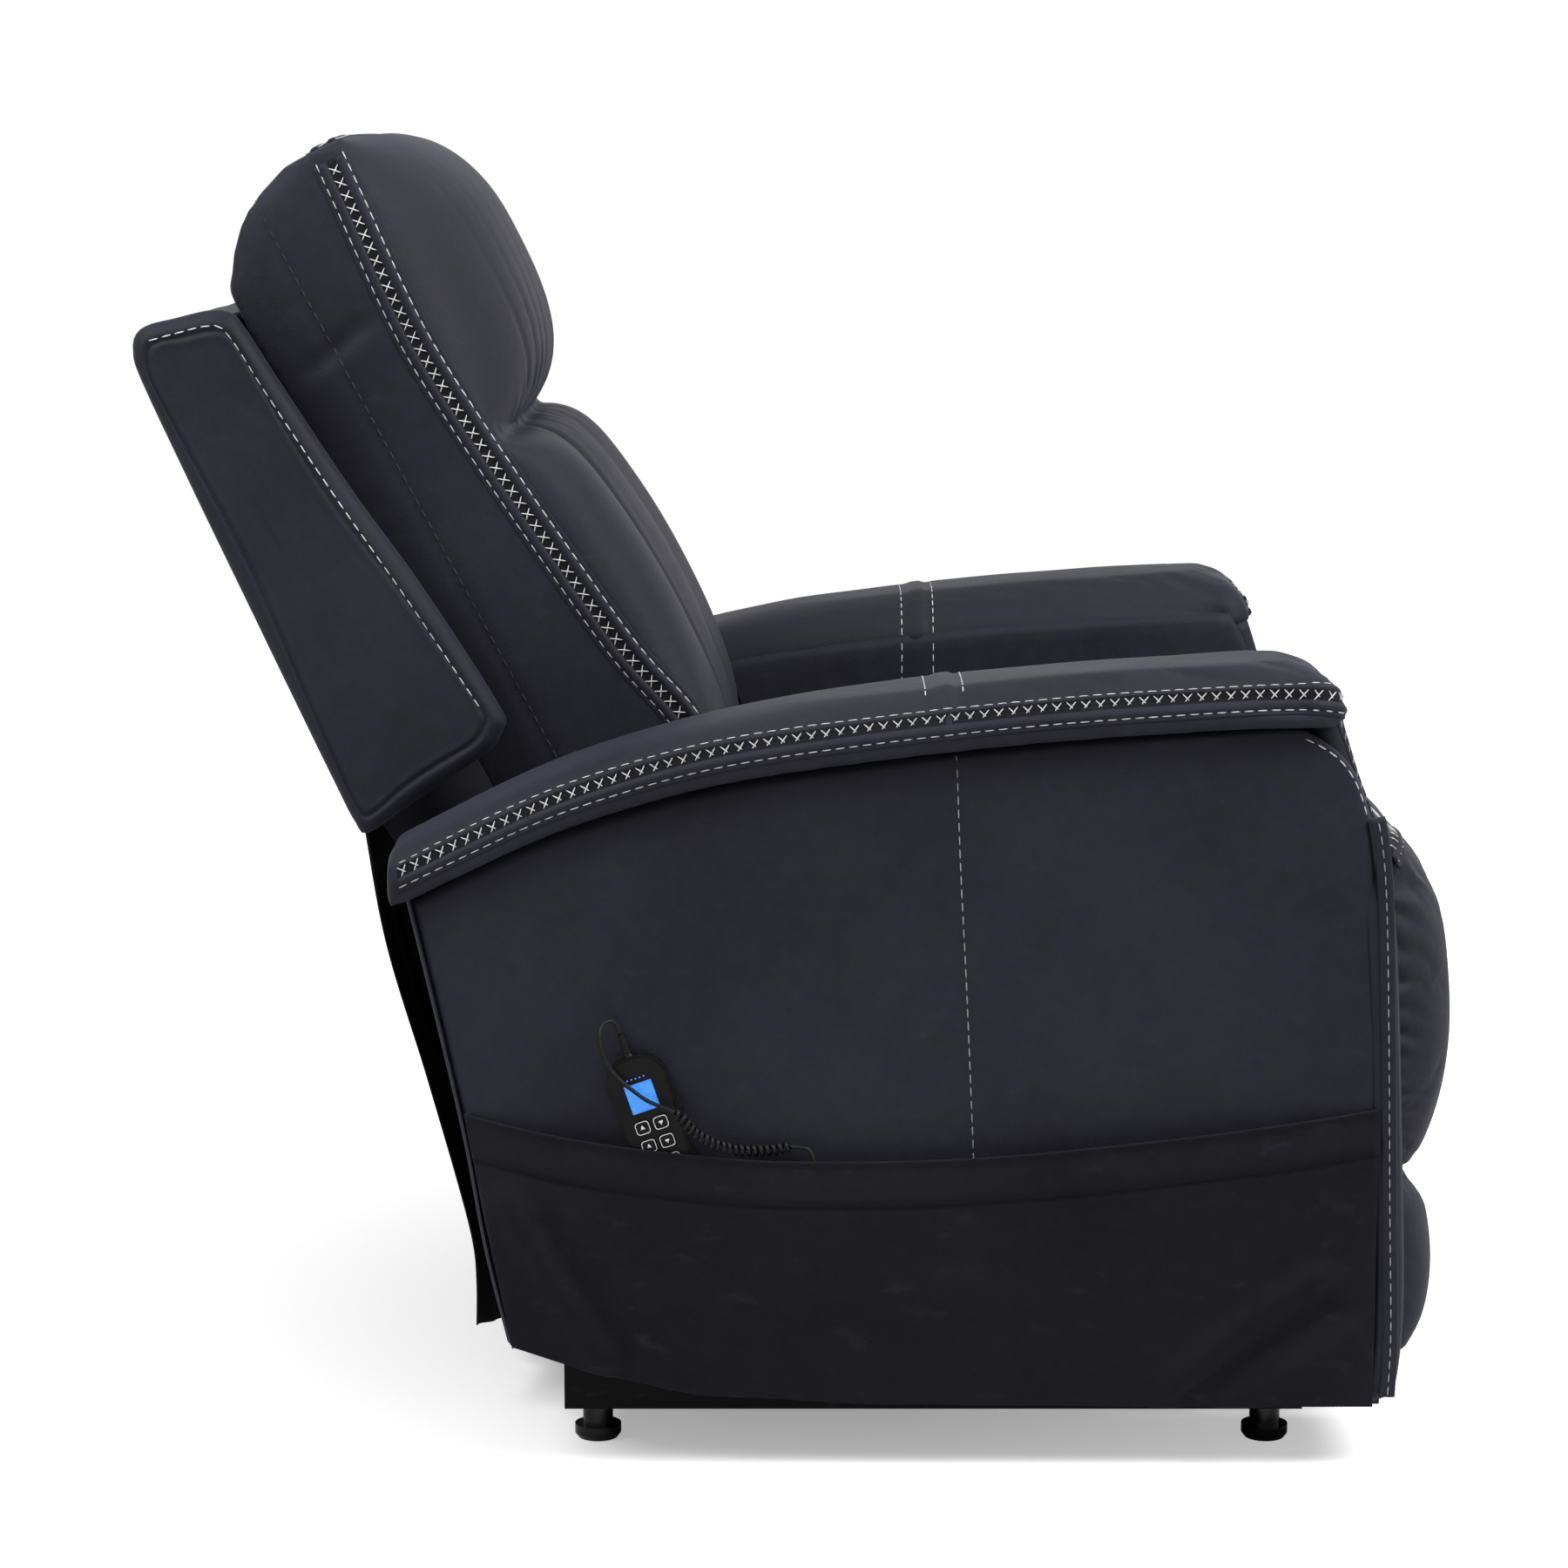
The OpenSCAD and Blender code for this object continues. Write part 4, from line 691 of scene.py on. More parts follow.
# Darker leather: the pocket's own leather, and also painted shade on the strips' channels, on the side covers
# in the gap between wing and pillow, and on the legrest's board
LEATHER_DARK_AND_SHADE = leather("dark_leather_and_shade", (0.0085, 0.0082, 0.0118, 1), (0.0135, 0.0130, 0.0175, 1),
                       (0.55, 0.68), 0.05)
THREAD_PALE = woven("pale_thread", (0.52, 0.52, 0.53, 1), (0.74, 0.74, 0.74, 1), 5200.0, 0.4)
THREAD_GREY = woven("grey_thread", (0.20, 0.21, 0.23, 1), (0.34, 0.35, 0.37, 1), 5200.0, 0.4)
THREAD_DARK = woven("dark_thread", (0.03, 0.03, 0.04, 1), (0.05, 0.05, 0.06, 1), 5200.0, 0.4)
DUST_CLOTH = woven("dust_cloth", (0.004, 0.004, 0.005, 1), (0.009, 0.009, 0.01, 1), 3600.0, 0.5)
WEBBING = woven("seat_webbing", (0.006, 0.006, 0.007, 1), (0.014, 0.014, 0.016, 1), 2400.0, 0.6)
BLACK_PAINT = coated("black_powder_coat", (0.0035, 0.003, 0.003, 1), (0.007, 0.006, 0.006, 1), (0.34, 0.5),
                     420.0, (0.05, 0.045, 0.042, 1), 0.4, specular=0.07)
ZINC = coated("zinc_steel", (0.36, 0.36, 0.36, 1), (0.5, 0.5, 0.49, 1), (0.28, 0.46), 240.0,
              (0.62, 0.62, 0.62, 1), 0.6, 1.0)
GLIDE_BLACK = coated("glide_plastic", (0.004, 0.004, 0.004, 1), (0.008, 0.008, 0.008, 1), (0.12, 0.22), 160.0,
                     specular=0.3)
BOX_BLACK = coated("drive_plastic", (0.010, 0.010, 0.011, 1), (0.017, 0.017, 0.018, 1), (0.42, 0.58), 900.0,
                   (0.05, 0.05, 0.05, 1), 0.4, specular=0.25)
HANDSET_BLACK = coated("handset_plastic", (0.0045, 0.0045, 0.005, 1), (0.009, 0.009, 0.0095, 1), (0.3, 0.42),
                       1300.0, (0.03, 0.03, 0.032, 1), 0.3, specular=0.12)
KEY_WHITE = coated("key_print", (0.62, 0.62, 0.64, 1), (0.8, 0.8, 0.82, 1), (0.4, 0.5), 1500.0)
CORD_BLACK = coated("cord_jacket", (0.006, 0.006, 0.006, 1), (0.012, 0.012, 0.012, 1), (0.3, 0.42), 800.0,
                    (0.03, 0.03, 0.03, 1), 0.3, specular=0.15)
PLY = plywood("birch_plywood")
SCREEN = screen("lit_screen")

KEYS = range(1, 7)
DRIVES = ("lift", "recline", "legrest", "headrest")
NODE_FINISHES = {
    BLACK_PAINT: ["base_side_rails", "base_cross_tubes", "lift_frame_rails", "lift_frame_cross_tubes",
                  "mechanism_side_plates", "back_hinge_brackets", "rear_lift_links", "front_lift_links",
                  "back_frame", "headrest_frame"],
    ZINC: ["legrest_drive_links", "legrest_cross_links", "legrest_control_links", "legrest_tip_links",
           "legrest_brackets"] + [f"{drive}_actuator_rod" for drive in DRIVES],
    GLIDE_BLACK: ["glide_feet"],
    BOX_BLACK: ["power_supply", "control_box", "cord_gland"] + [f"{drive}_actuator_body" for drive in DRIVES],
    HANDSET_BLACK: ["handset_front", "handset_back", "handset_strain_relief"] + [f"button_{k}" for k in KEYS],
    PLY: ["seat_frame", "arm_frame_right", "arm_frame_left"],
    # The legrest's board takes the darker leather: painted shade where it shows beside the pads
    LEATHER_DARK_AND_SHADE: ["legrest_board"],
    WEBBING: ["seat_webbing"],
    SCREEN: ["handset_display"],
}
for material, names in NODE_FINISHES.items():
    for name in names:
        NODES[name].data.materials.clear()
        NODES[name].data.materials.append(material)


# Camera

def add_camera():
    """Camera at the photograph's angle, pitched down a little."""
    data = bpy.data.cameras.new("camera")
    data.sensor_width = 36
    data.lens = CAMERA_LENS
    data.clip_end = 60
    camera = bpy.data.objects.new("camera", data)
    camera.location = CAMERA_AT
    camera.rotation_euler = (math.pi / 2 - CAMERA_DOWN, 0, 0)
    bpy.context.scene.collection.objects.link(camera)
    bpy.context.scene.camera = camera


add_camera()

# Handset cord: lead, curls and tail, in millimetres as chosen for the part

LEAD = [[-161.7, -431.8, 376.4], [-163.4, -431.8, 381.3], [-166, -432.4, 385.6], [-170, -434.2, 388.2],
        [-174.4, -437, 387], [-177.4, -440, 382.6], [-178.4, -443, 376.4], [-177.4, -445, 368],
        [-173.8, -446, 358], [-168, -446.4, 348], [-160.5, -446.6, 339.6], [-151, -447, 332],
        [-140.4, -448, 324.5], [-130, -449.4, 319.8], [-121, -450.6, 316.5]]
COIL = [[-121, -450.6, 316.5], [-113, -451, 312.5], [-107.5, -450.4, 305.4], [-102, -448.6, 298.6],
        [-93, -446, 291.4], [-81, -442.5, 284.8], [-68, -439, 280.4], [-54, -436, 278.6],
        [-40, -434.6, 278.8], [-27, -434.2, 280.4], [-15, -434.2, 281]]
TAIL = [[-15, -434.2, 281], [-8, -434.2, 280], [-3.4, -435, 276], [-1, -436.4, 269], [0, -437, 262],
        [0, -436.8, 255], [0, -435.6, 249.4], [0, -433.2, 246], [0, -430.7, 245]]
CORD_D = 0.0035
COIL_D = 0.011
CURLS = 22
CURL_POINTS = 24
CURL_OPENS = 0.625


def cord_path():
    """The lead, then a helix of even pitch about the coil's line, whose radius opens over one turn at its
    start and closes over one at its end, then the tail."""
    lead = spline(0.001 * np.array(LEAD), 60)
    tail = spline(0.001 * np.array(TAIL), 36)
    line = spline(0.001 * np.array(COIL), CURLS * CURL_POINTS + 1)
    turns = np.arange(len(line)) / CURL_POINTS
    radius = np.clip(np.minimum(turns, CURLS - turns) - CURL_OPENS, 0, 1) * (COIL_D - CORD_D) / 2
    d = directions(line)
    u = across(d, np.array([0, 1.0, 0]))
    w = np.cross(d, u)
    a = (2 * math.pi * turns)[:, None]
    helix = line + radius[:, None] * (np.cos(a) * u + np.sin(a) * w)
    return np.vstack([lead[:-1], helix, tail[1:]])


def add_cord():
    """One unbroken tube along the cord's path, its rings carried along by the path's own turning."""
    path = cord_path()
    d = directions(path)
    u = np.empty_like(d)
    u[0] = across(d[:1], np.array([0, 1.0, 0]))[0]
    for k in range(1, len(d)):
        u[k] = across(d[k:k + 1], u[k - 1])[0]
    w = np.cross(d, u)
    a = np.linspace(0, 2 * math.pi, 10, endpoint=False)[None, :, None]
    rings = path[:, None] + CORD_D / 2 * (np.cos(a) * u[:, None] + np.sin(a) * w[:, None])
    piece = loft("handset_cord", rings, CORD_BLACK)
    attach(piece, "chair")
    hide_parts("handset_lead", "handset_coil")


add_cord()

# Print on the handset: an outline and an arrow on each key, and a row of small lamps over the screen

HANDSET_TILT = math.radians(19)
KEY_OUTLINE = (0.0060, 0.0055)
PRINT_LINE = 0.0006
PRINT_HIGH = 0.00015
PRINT_SINK = -0.0001
KEY_ARROW = 0.0024
ARROW_FACES = [[0, 1, 2], [3, 4, 5], [0, 1, 4, 3], [1, 2, 5, 4], [2, 0, 3, 5]]
LAMP_R = 0.0007
LAMP_STEP = 0.0036
LAMP_UP = 0.0165


def on_handset(centre, u, w, rise):
    """Points u across and w up the tilted handset from a centre, standing off its face by the rise."""
    c, k = math.cos(HANDSET_TILT), math.sin(HANDSET_TILT)
    u, w, rise = np.broadcast_arrays(u, w, rise)
    return np.stack([centre[0] + u * c - w * k, centre[1] - rise, centre[2] + u * k + w * c], axis=-1)


def printed(name, body, points, faces):
    """Raised print that rides on a body."""
    piece = add_piece(name, points, faces, KEY_WHITE)
    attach(piece, body)


def middle_of(node_name):
    """Middle of a node's box across and up the handset, and its front in depth."""
    low, high = (np.array(v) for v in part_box(node_name))
    return np.array([(low[0] + high[0]) / 2, low[1], (low[2] + high[2]) / 2])


def key_print(k):
    """A key's rounded outline, a squarish ring of even width, and its arrow, a flat triangle that points up
    in the left column and down in the right."""
    centre = middle_of(f"button_{k}")
    a = np.linspace(0, 2 * math.pi, 32, endpoint=False)
    circle = np.stack([np.cos(a), np.sin(a)])
    rim = np.sign(circle) * np.abs(circle) ** 0.45
    size = np.array(KEY_OUTLINE)[:, None]
    outer, inner = rim * size, rim * (size - PRINT_LINE)
    rings = [(outer, PRINT_SINK), (outer, PRINT_HIGH), (inner, PRINT_HIGH), (inner, PRINT_SINK)]
    points = np.stack([on_handset(centre, r[0], r[1], h) for r, h in rings])
    printed(f"key_{k}_outline", f"key_{k}", points, quads(4, 32, True, True))
    b = np.array([90, 210, 330]) * math.pi / 180 + (k % 2 == 0) * math.pi
    flat = KEY_ARROW * np.stack([np.cos(b), np.sin(b)])
    points = np.stack([on_handset(centre, flat[0], flat[1], h) for h in (PRINT_SINK, PRINT_HIGH)])
    printed(f"key_{k}_arrow", f"key_{k}", points, ARROW_FACES)


def handset_lamps():
    """Five small flat discs in a row above the screen."""
    centre = middle_of("handset_display")
    centre[1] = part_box("handset_front")[0][1]
    b = np.linspace(0, 2 * math.pi, 10, endpoint=False)
    for k in range(-2, 3):
        u, w = k * LAMP_STEP + LAMP_R * np.cos(b), LAMP_UP + LAMP_R * np.sin(b)
        rings = np.stack([on_handset(centre, u, w, h) for h in (PRINT_SINK, PRINT_HIGH)])
        piece = loft(f"handset_lamp_{k + 3}", rings, SCREEN)
        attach(piece, "chair")


for k in KEYS:
    key_print(k)
handset_lamps()


def upholster(piece, body, *replaced):
    """Rides leather or stitching on a body and hides the nodes that it stands for."""
    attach(piece, body)
    if replaced:
        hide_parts(*replaced)
    return piece


def on_chair(piece, *replaced):
    """Rides leather or stitching on the chair."""
    return upholster(piece, "chair", *replaced)


# Inside of the back: pillow, three channels and the boxed sides

STRIP = [(0.116, 0.216), (0.190, 0.219), (0.265, 0.202), (0.366, 0.189), (0.491, 0.176), (0.595, 0.170),
         (0.714, 0.177), (0.768, 0.180)]
PILLOW_FRONT = [(0.478, 0.186), (0.486, 0.212), (0.501, 0.235), (0.527, 0.254), (0.565, 0.266),
                (0.615, 0.271), (0.678, 0.269), (0.734, 0.245), (0.766, 0.205)]
BOLSTER_FRONT = [(0.116, 0.224), (0.150, 0.240), (0.220, 0.252), (0.300, 0.255), (0.370, 0.251),
                 (0.430, 0.241), (0.462, 0.222), (0.480, 0.188)]
PILLOW_REAR = [(0.470, 0.049), (0.680, 0.049), (0.705, 0.058), (0.730, 0.076), (0.752, 0.103), (0.764, 0.140)]
CUSHION_REAR = 0.040
BAND_FRONT = 0.0125
CHANNEL_HALF = 0.088
CREST_AT = 0.55
PINCH_S = 0.480
BEND_FROM = 0.430
BEND_TO = 0.535
BEND_N = 0.165
TOP_STRIP_N = 0.178
TAIL_S = 0.030
TAIL_N = 0.060
FOOT_S = 0.099
BODY_S = 0.118
PILLOW_REAR_S = 0.470
# Rows of rings up the back, from s to s: tail, rounded foot, channels, pinched seam, pillow
BACK_ROWS = [(TAIL_S, FOOT_S, 12), (FOOT_S + 0.0005, 0.116, 14), (BODY_S, 0.466, 60), (0.469, 0.492, 14),
             (0.497, 0.766, 56)]


def inside_back_rings():
    """Rings up the back: a thin tail that goes down behind the seat, a rounded foot, and then from each s
    the rear, the flat sides, and a front whose swell over the strip's line is one arch on the pillow and
    three arches below the pinched seam."""
    s = np.concatenate([np.linspace(*row) for row in BACK_ROWS])
    y = np.sin(np.linspace(-math.pi / 2, math.pi / 2, 81))[None]
    above = np.maximum(s, BODY_S)
    edge = reading(STRIP, above)[:, None] + BAND_FRONT
    pillow = reading(PILLOW_FRONT, above)[:, None]
    bolster = reading(BOLSTER_FRONT, above)[:, None]
    v = np.abs(y)
    arch = (1 - v ** 2.6) ** 0.7
    c = CHANNEL_HALF / CUSHION_HALF
    w = np.clip((v - c) / (1 - c), 0, 1)
    rising = 0.80 + 0.20 * np.sin(math.pi / 2 * np.minimum(w / CREST_AT, 1))
    falling = (1 - np.clip((w - CREST_AT) / (1 - CREST_AT), 0, 1) ** 2.4) ** 0.55
    tubes = np.where(v < c, 1.07 - 0.27 * (v / c) ** 2.2, np.where(w < CREST_AT, rising, falling))
    swollen = np.where((s >= PINCH_S)[:, None], np.maximum(pillow - edge, 0) * arch,
                       np.maximum(bolster - edge, 0) * tubes)
    foot = np.sqrt(1 - np.clip((BODY_S - s) / (BODY_S - FOOT_S), 0, 1) ** 2)[:, None]
    front = TAIL_N + (edge + swollen - TAIL_N) * foot
    narrower = np.where(s > PINCH_S, 0.010 * np.clip((s - 0.484) / 0.281, 0, 1) ** 6, 0)
    half = (CUSHION_HALF - 0.003 - narrower)[:, None]
    rear = reading(PILLOW_REAR, np.maximum(s, PILLOW_REAR_S))
    rear = np.where(s >= PILLOW_REAR_S, rear, CUSHION_REAR)[:, None]
    t = np.linspace(0, 1, 12)[None]
    side_n = rear + (front[:, :1] - rear) * t
    bow = 0.004 * np.sin(math.pi * t)
    n = np.concatenate([side_n[:, :-1], front, side_n[:, -2::-1]], axis=1)
    yy = np.concatenate([-half - bow[:, :-1], half * y, half + bow[:, -2::-1]], axis=1)
    return back_point(n, yy, np.broadcast_to(s[:, None], n.shape))


def inside_back_held(p):
    """Held fast at the rear, on the strip's line, in the channels' seams and in the pinched seam."""
    n, y, s = back_local(p)
    strip = reading(STRIP, s)
    on_strip = (np.abs(n - strip) < 0.014) & (np.abs(y) > 0.235)
    channel = (np.abs(np.abs(y) - CHANNEL_HALF) < 0.0035) & (s < 0.475) & (n > 0.15)
    pinch = (np.abs(s - PINCH_S) < 0.004) & (n > 0.12)
    return (n < 0.075) | on_strip | channel | pinch | (s < 0.14)


# Seat cushion

SEAT_REAR, SEAT_FRONT = -0.150, 0.424
SEAT_TOP = [(-0.150, 0.446), (-0.116, 0.472), (0.060, 0.500), (0.260, 0.515), (0.340, 0.520), (0.394, 0.516),
            (0.426, 0.490)]
SEAT_DECK = 0.3465
SEAT_LIP = 0.4405
SEAT_LIP_X = 0.357
SEAT_HALF = 0.2725
SEAT_PULL = 0.008
SEAT_CROWN = 0.012
SEAT_SEAM_X = 0.372


def seat_low(x):
    """Height of the seat's underside: the deck, and the lip in front of it."""
    return np.where(x < SEAT_LIP_X, SEAT_DECK, SEAT_LIP)


def seat_rings():
    """Rings from rear to front: a squarish arch over the deck whose sides pull in between the corners."""
    x = np.concatenate([np.linspace(SEAT_REAR + 0.001, SEAT_LIP_X - 0.001, 60),
                        np.linspace(SEAT_LIP_X + 0.001, SEAT_FRONT + 0.0005, 14)])[:, None]
    top = reading(SEAT_TOP, x[:, 0])[:, None]
    low = seat_low(x) + 0.001
    a = np.linspace(0, math.pi, 41)[None]
    w = np.sign(np.cos(a)) * np.abs(np.cos(a)) ** 0.35
    half = SEAT_HALF - SEAT_PULL * np.sin(math.pi * (x - SEAT_REAR) / (SEAT_FRONT - SEAT_REAR)) ** 2
    z = low + (top - low - SEAT_CROWN) * np.sin(a) ** 0.25 + SEAT_CROWN * (1 - w * w)
    return np.stack([np.broadcast_to(x, z.shape), half * w, z], axis=-1)


def seat_held(p):
    """Held on the deck and under the lip."""
    return p[:, 2] < seat_low(p[:, 0]) + 0.012


# Arms

ARM_REAR = [(-0.254, 0.103), (-0.274, 0.188), (-0.291, 0.285), (-0.315, 0.396), (-0.338, 0.496)]
ARM_HEM = [(-0.254, 0.103), (-0.195, 0.084), (-0.099, 0.062), (0.047, 0.054), (0.300, 0.0515),
           (0.478, 0.0515)]
ARM_FRONT = [(0.474, 0.0535), (0.487, 0.0595), (0.494, 0.076), (0.498, 0.143), (0.493, 0.293), (0.486, 0.440),
             (0.477, 0.514), (0.467, 0.548), (0.454, 0.580), (0.446, 0.603), (0.440, 0.622), (0.434, 0.640)]
ARM_CREST = [(-0.354, 0.529), (-0.246, 0.582), (-0.173, 0.610), (-0.077, 0.636), (0.047, 0.655),
             (0.193, 0.671), (0.340, 0.681), (0.405, 0.683)]
CREST_FRONT, CREST_HIGH = ARM_CREST[-1]
CAP_T = 0.048
CAP_TAIL_X = -0.345
CAP_RINGS = 90
NOSE = 0.031
NOSE_RISE = 0.007
SHOULDER_SET = 0.012
WELT = [(0.478, 0.0515), (0.480, 0.119), (0.477, 0.221), (0.473, 0.369), (0.469, 0.479), (0.464, 0.535),
        (0.456, 0.570), (0.447, 0.592), (0.435, 0.608), (0.420, 0.619), (0.404, 0.627)]
PANEL_SEAM = [(0.110, 0.616), (0.114, 0.515), (0.120, 0.406), (0.127, 0.255)]
POCKET_TOP = [(-0.293, 0.307), (-0.214, 0.291), (-0.127, 0.279), (-0.026, 0.271), (0.119, 0.273),
              (0.264, 0.286), (0.470, 0.311)]
PANEL_GRID = (150, 110)
PANEL_ROUND = 0.014
PANEL_DEPTH = 0.024
FRONT_DEPTH = 0.026


def arm_under(x):
    """Height of the cap's underside along the arm."""
    return reading(ARM_CREST, np.minimum(x, CREST_FRONT)) - CAP_T


def arm_outer_panel(side, name, pocketed):
    """Outer panel: a patch between the rear edge, the hem, the welt and the cap, rounded at its border,
    with a sewn seam down its middle."""
    hem, welt, rear = (spline(line, 90) for line in (ARM_HEM, WELT, ARM_REAR))
    hem[-1] = welt[0]
    top_x = np.linspace(rear[-1, 0], welt[-1, 0], 90)
    top_z = np.minimum(arm_under(top_x) - 0.001, np.linspace(rear[-1, 1], 1, 90))
    top = np.stack([top_x, top_z], axis=1)
    top[0], top[-1] = rear[-1], welt[-1]
    flat = coons(hem, top, rear, welt, *map(crowded, PANEL_GRID))
    at = flat.reshape(-1, 2)
    out = 0.0025 * np.ones(PANEL_GRID) - border_sink(flat, PANEL_ROUND)
    u, v = (np.linspace(-1, 1, count) for count in PANEL_GRID)
    out += 0.0045 * (1 - u[:, None] ** 4) * (1 - v[None] ** 4) - 0.004
    out += 0.0012 * ripple(at, 0.16, 3).reshape(out.shape)
    seam = distance(at, spline(PANEL_SEAM, 40)).reshape(out.shape)
    out -= 0.0022 * groove(seam, 0.0035)
    place = lambda x, z, o: np.stack([x, side * (ARM_OUT + o), z], axis=-1)
    return panel(name, flat, np.minimum(out, 0.0005 if pocketed else 0.004), PANEL_DEPTH, place, LEATHER)


def arm_front(side, name):
    """Front of the arm: a rounded section from the outer to the inner side, carried up the arm's front
    line. The shoulder is set in near the top."""
    line = spline(ARM_FRONT, 70)
    d = directions(line)
    n = np.stack([d[:, 1], -d[:, 0]], axis=1)
    a = np.linspace(0, math.pi / 2, 9)
    r = np.interp(line[:, 1], [0.50, 0.58], [0.022, 0.015])[:, None]
    outer = ARM_OUT - np.interp(line[:, 1], [0.49, 0.56], [0, SHOULDER_SET])[:, None]
    one = np.ones_like(r)
    mid = np.linspace(0, 1, 14)[None]
    y = np.concatenate([outer - 0.0005, outer - r + r * np.cos(a),
                        (outer - r - 0.01) + mid * (ARM_IN - outer + 2 * r + 0.02),
                        ARM_IN + r - r * np.sin(a), (ARM_IN + 0.0005) * one], axis=1)
    deep = np.concatenate([-FRONT_DEPTH * one, r * np.sin(a) - r, 0 * mid * one, r * np.cos(a) - r,
                           -FRONT_DEPTH * one], axis=1)
    crown = 0.004 * np.sin(math.pi * np.clip((y - ARM_IN) / (ARM_OUT - ARM_IN), 0, 1)) - 0.004
    deep += np.where(deep > -0.001, crown, 0)
    rings_x = line[:, :1] + n[:, :1] * deep
    rings_z = line[:, 1:] + n[:, 1:] * deep
    return loft(name, np.stack([rings_x, side * y, rings_z], axis=-1), LEATHER)


def cap_rings(side):
    """Rings along the arm: a flat underside and an arch, squarish outside and rounder inside, with a nose
    that is rounded in plan and in height and a narrower tail."""
    u = np.array([0.15, 0.3, 0.45, 0.6, 0.72, 0.82, 0.9, 0.96, 0.99])
    round_off = (1 - u ** 2.6) ** (1 / 2.6)
    nose = np.stack([CREST_FRONT + NOSE * u, CREST_HIGH - CAP_T * (1 - round_off)], axis=1)
    line = np.vstack([spline(ARM_CREST, CAP_RINGS), nose])
    along = np.linspace(0, 1, CAP_RINGS)
    narrow_nose = 1 - 0.22 * (1 - np.sqrt(1 - u ** 2))
    grow = np.concatenate([np.clip(0.90 + 0.1 * along * 9, 0, 1), narrow_nose])[:, None]
    thick = np.concatenate([np.clip(0.93 + along * 3, 0, 1), round_off])[:, None] * (CAP_T - 0.001)
    a = np.linspace(0, math.pi, 41)[None]
    mid, half = (CAP_IN + CAP_OUT) / 2, (CAP_OUT - CAP_IN) / 2 - 0.003
    outside = np.cos(a) > 0
    w = np.sign(np.cos(a)) * np.abs(np.cos(a)) ** np.where(outside, 0.42, 0.60)
    y = mid + half * grow * w
    rise = np.concatenate([np.zeros(CAP_RINGS), NOSE_RISE * u ** 5])[:, None]
    low = line[:, 1:] - 0.002 - thick
    arch = thick * np.sin(a) ** np.where(outside, 0.42, 0.75)
    z = low + np.minimum(rise, 0.6 * thick) * (1 - np.sin(a)) + arch
    return np.stack([np.broadcast_to(line[:, :1], z.shape), side * y, z], axis=-1)


def cap_held(p):
    """Held on the flat underside and at the tail."""
    return (p[:, 2] < arm_under(p[:, 0]) + 0.006) | (p[:, 0] < CAP_TAIL_X)


# Legrest pads

UPPER_PAD = [(0.502, 0.517), (0.524, 0.502), (0.547, 0.456), (0.563, 0.400), (0.568, 0.340),
             (0.564, 0.285), (0.551, 0.230), (0.537, 0.210)]
LOWER_PAD = [(0.537, 0.195), (0.549, 0.168), (0.556, 0.118), (0.552, 0.072), (0.539, 0.041)]
PAD_BACK = 0.449
BOARD_TOP = 0.458
OVER_BOARD = 0.430
PAD_HALF = 0.2635
LEG_STRIP_AT = (0.510, 0.510)
LEG_STRIP_SLOPE = (0.834, -0.552)


def pad_rings(front, top_back):
    """Rings down a pad: a flat back on the board, which may reach back over its top, and a swollen front
    that closes in towards both sides."""
    line = spline(front, 60)
    high = line[:, 1]
    z_mid, z_half = high[[0, -1]].mean(), abs(high[0] - high[-1]) / 2
    half = PAD_HALF - 0.006 + 0.006 * np.abs((high - z_mid) / z_half) ** 2
    back = np.where(high > BOARD_TOP, top_back, PAD_BACK)
    c = -np.cos(np.linspace(0, math.pi, 61))[None]
    x = (back + 0.008)[:, None] + (line[:, 0] - back - 0.008)[:, None] * (1 - np.abs(c) ** 5) ** 0.5
    y = half[:, None] * np.sign(c) * np.abs(c) ** 0.62
    rings = np.stack([x, y, np.broadcast_to(high[:, None], x.shape)], axis=-1)
    rear = np.stack([np.stack([back, half, high], -1), np.stack([back, -half, high], -1)], axis=1)
    return np.concatenate([rings, rear], axis=1)


def pad_held(p):
    """Held on the board."""
    return p[:, 0] < PAD_BACK + 0.012


# Padded pieces, swollen together

# Per piece: rings, voxel, cap on the swelling, rule for what is held, fill, body and node
PAD_TABLE = {
    "inside_back": (inside_back_rings(), 0.006, 0.010, inside_back_held, 0.75, None, None),
    "seat_pad": (seat_rings(), 0.006, 0.006, seat_held, 0.8, "chair", "seat_cushion"),
    "arm_cap_pad_right": (cap_rings(-1), 0.005, 0.005, cap_held, 0.8, "chair", "arm_cap_right"),
    "arm_cap_pad_left": (cap_rings(1), 0.005, 0.005, cap_held, 0.8, "chair", "arm_cap_left"),
    "legrest_pad_upper": (pad_rings(UPPER_PAD, OVER_BOARD), 0.005, 0.008, pad_held, 0.7, "legrest_pad",
                          "legrest_upper_pad"),
    "legrest_pad_lower": (pad_rings(LOWER_PAD, PAD_BACK), 0.005, 0.008, pad_held, 0.7, "legrest_pad",
                          "legrest_lower_pad"),
}
pads = [dict(piece=loft(name, rings, LEATHER), voxel=voxel, cap=cap, held=held)
        for name, (rings, voxel, cap, held, *rest) in PAD_TABLE.items()]
swell(pads)
PADS = {pad["piece"].name: pad["piece"] for pad in pads}

PILLOW_PLEATS = (-0.152, -0.118, -0.088, -0.052, 0.030, 0.075, 0.122)
REAR_SEAM_N = 0.103


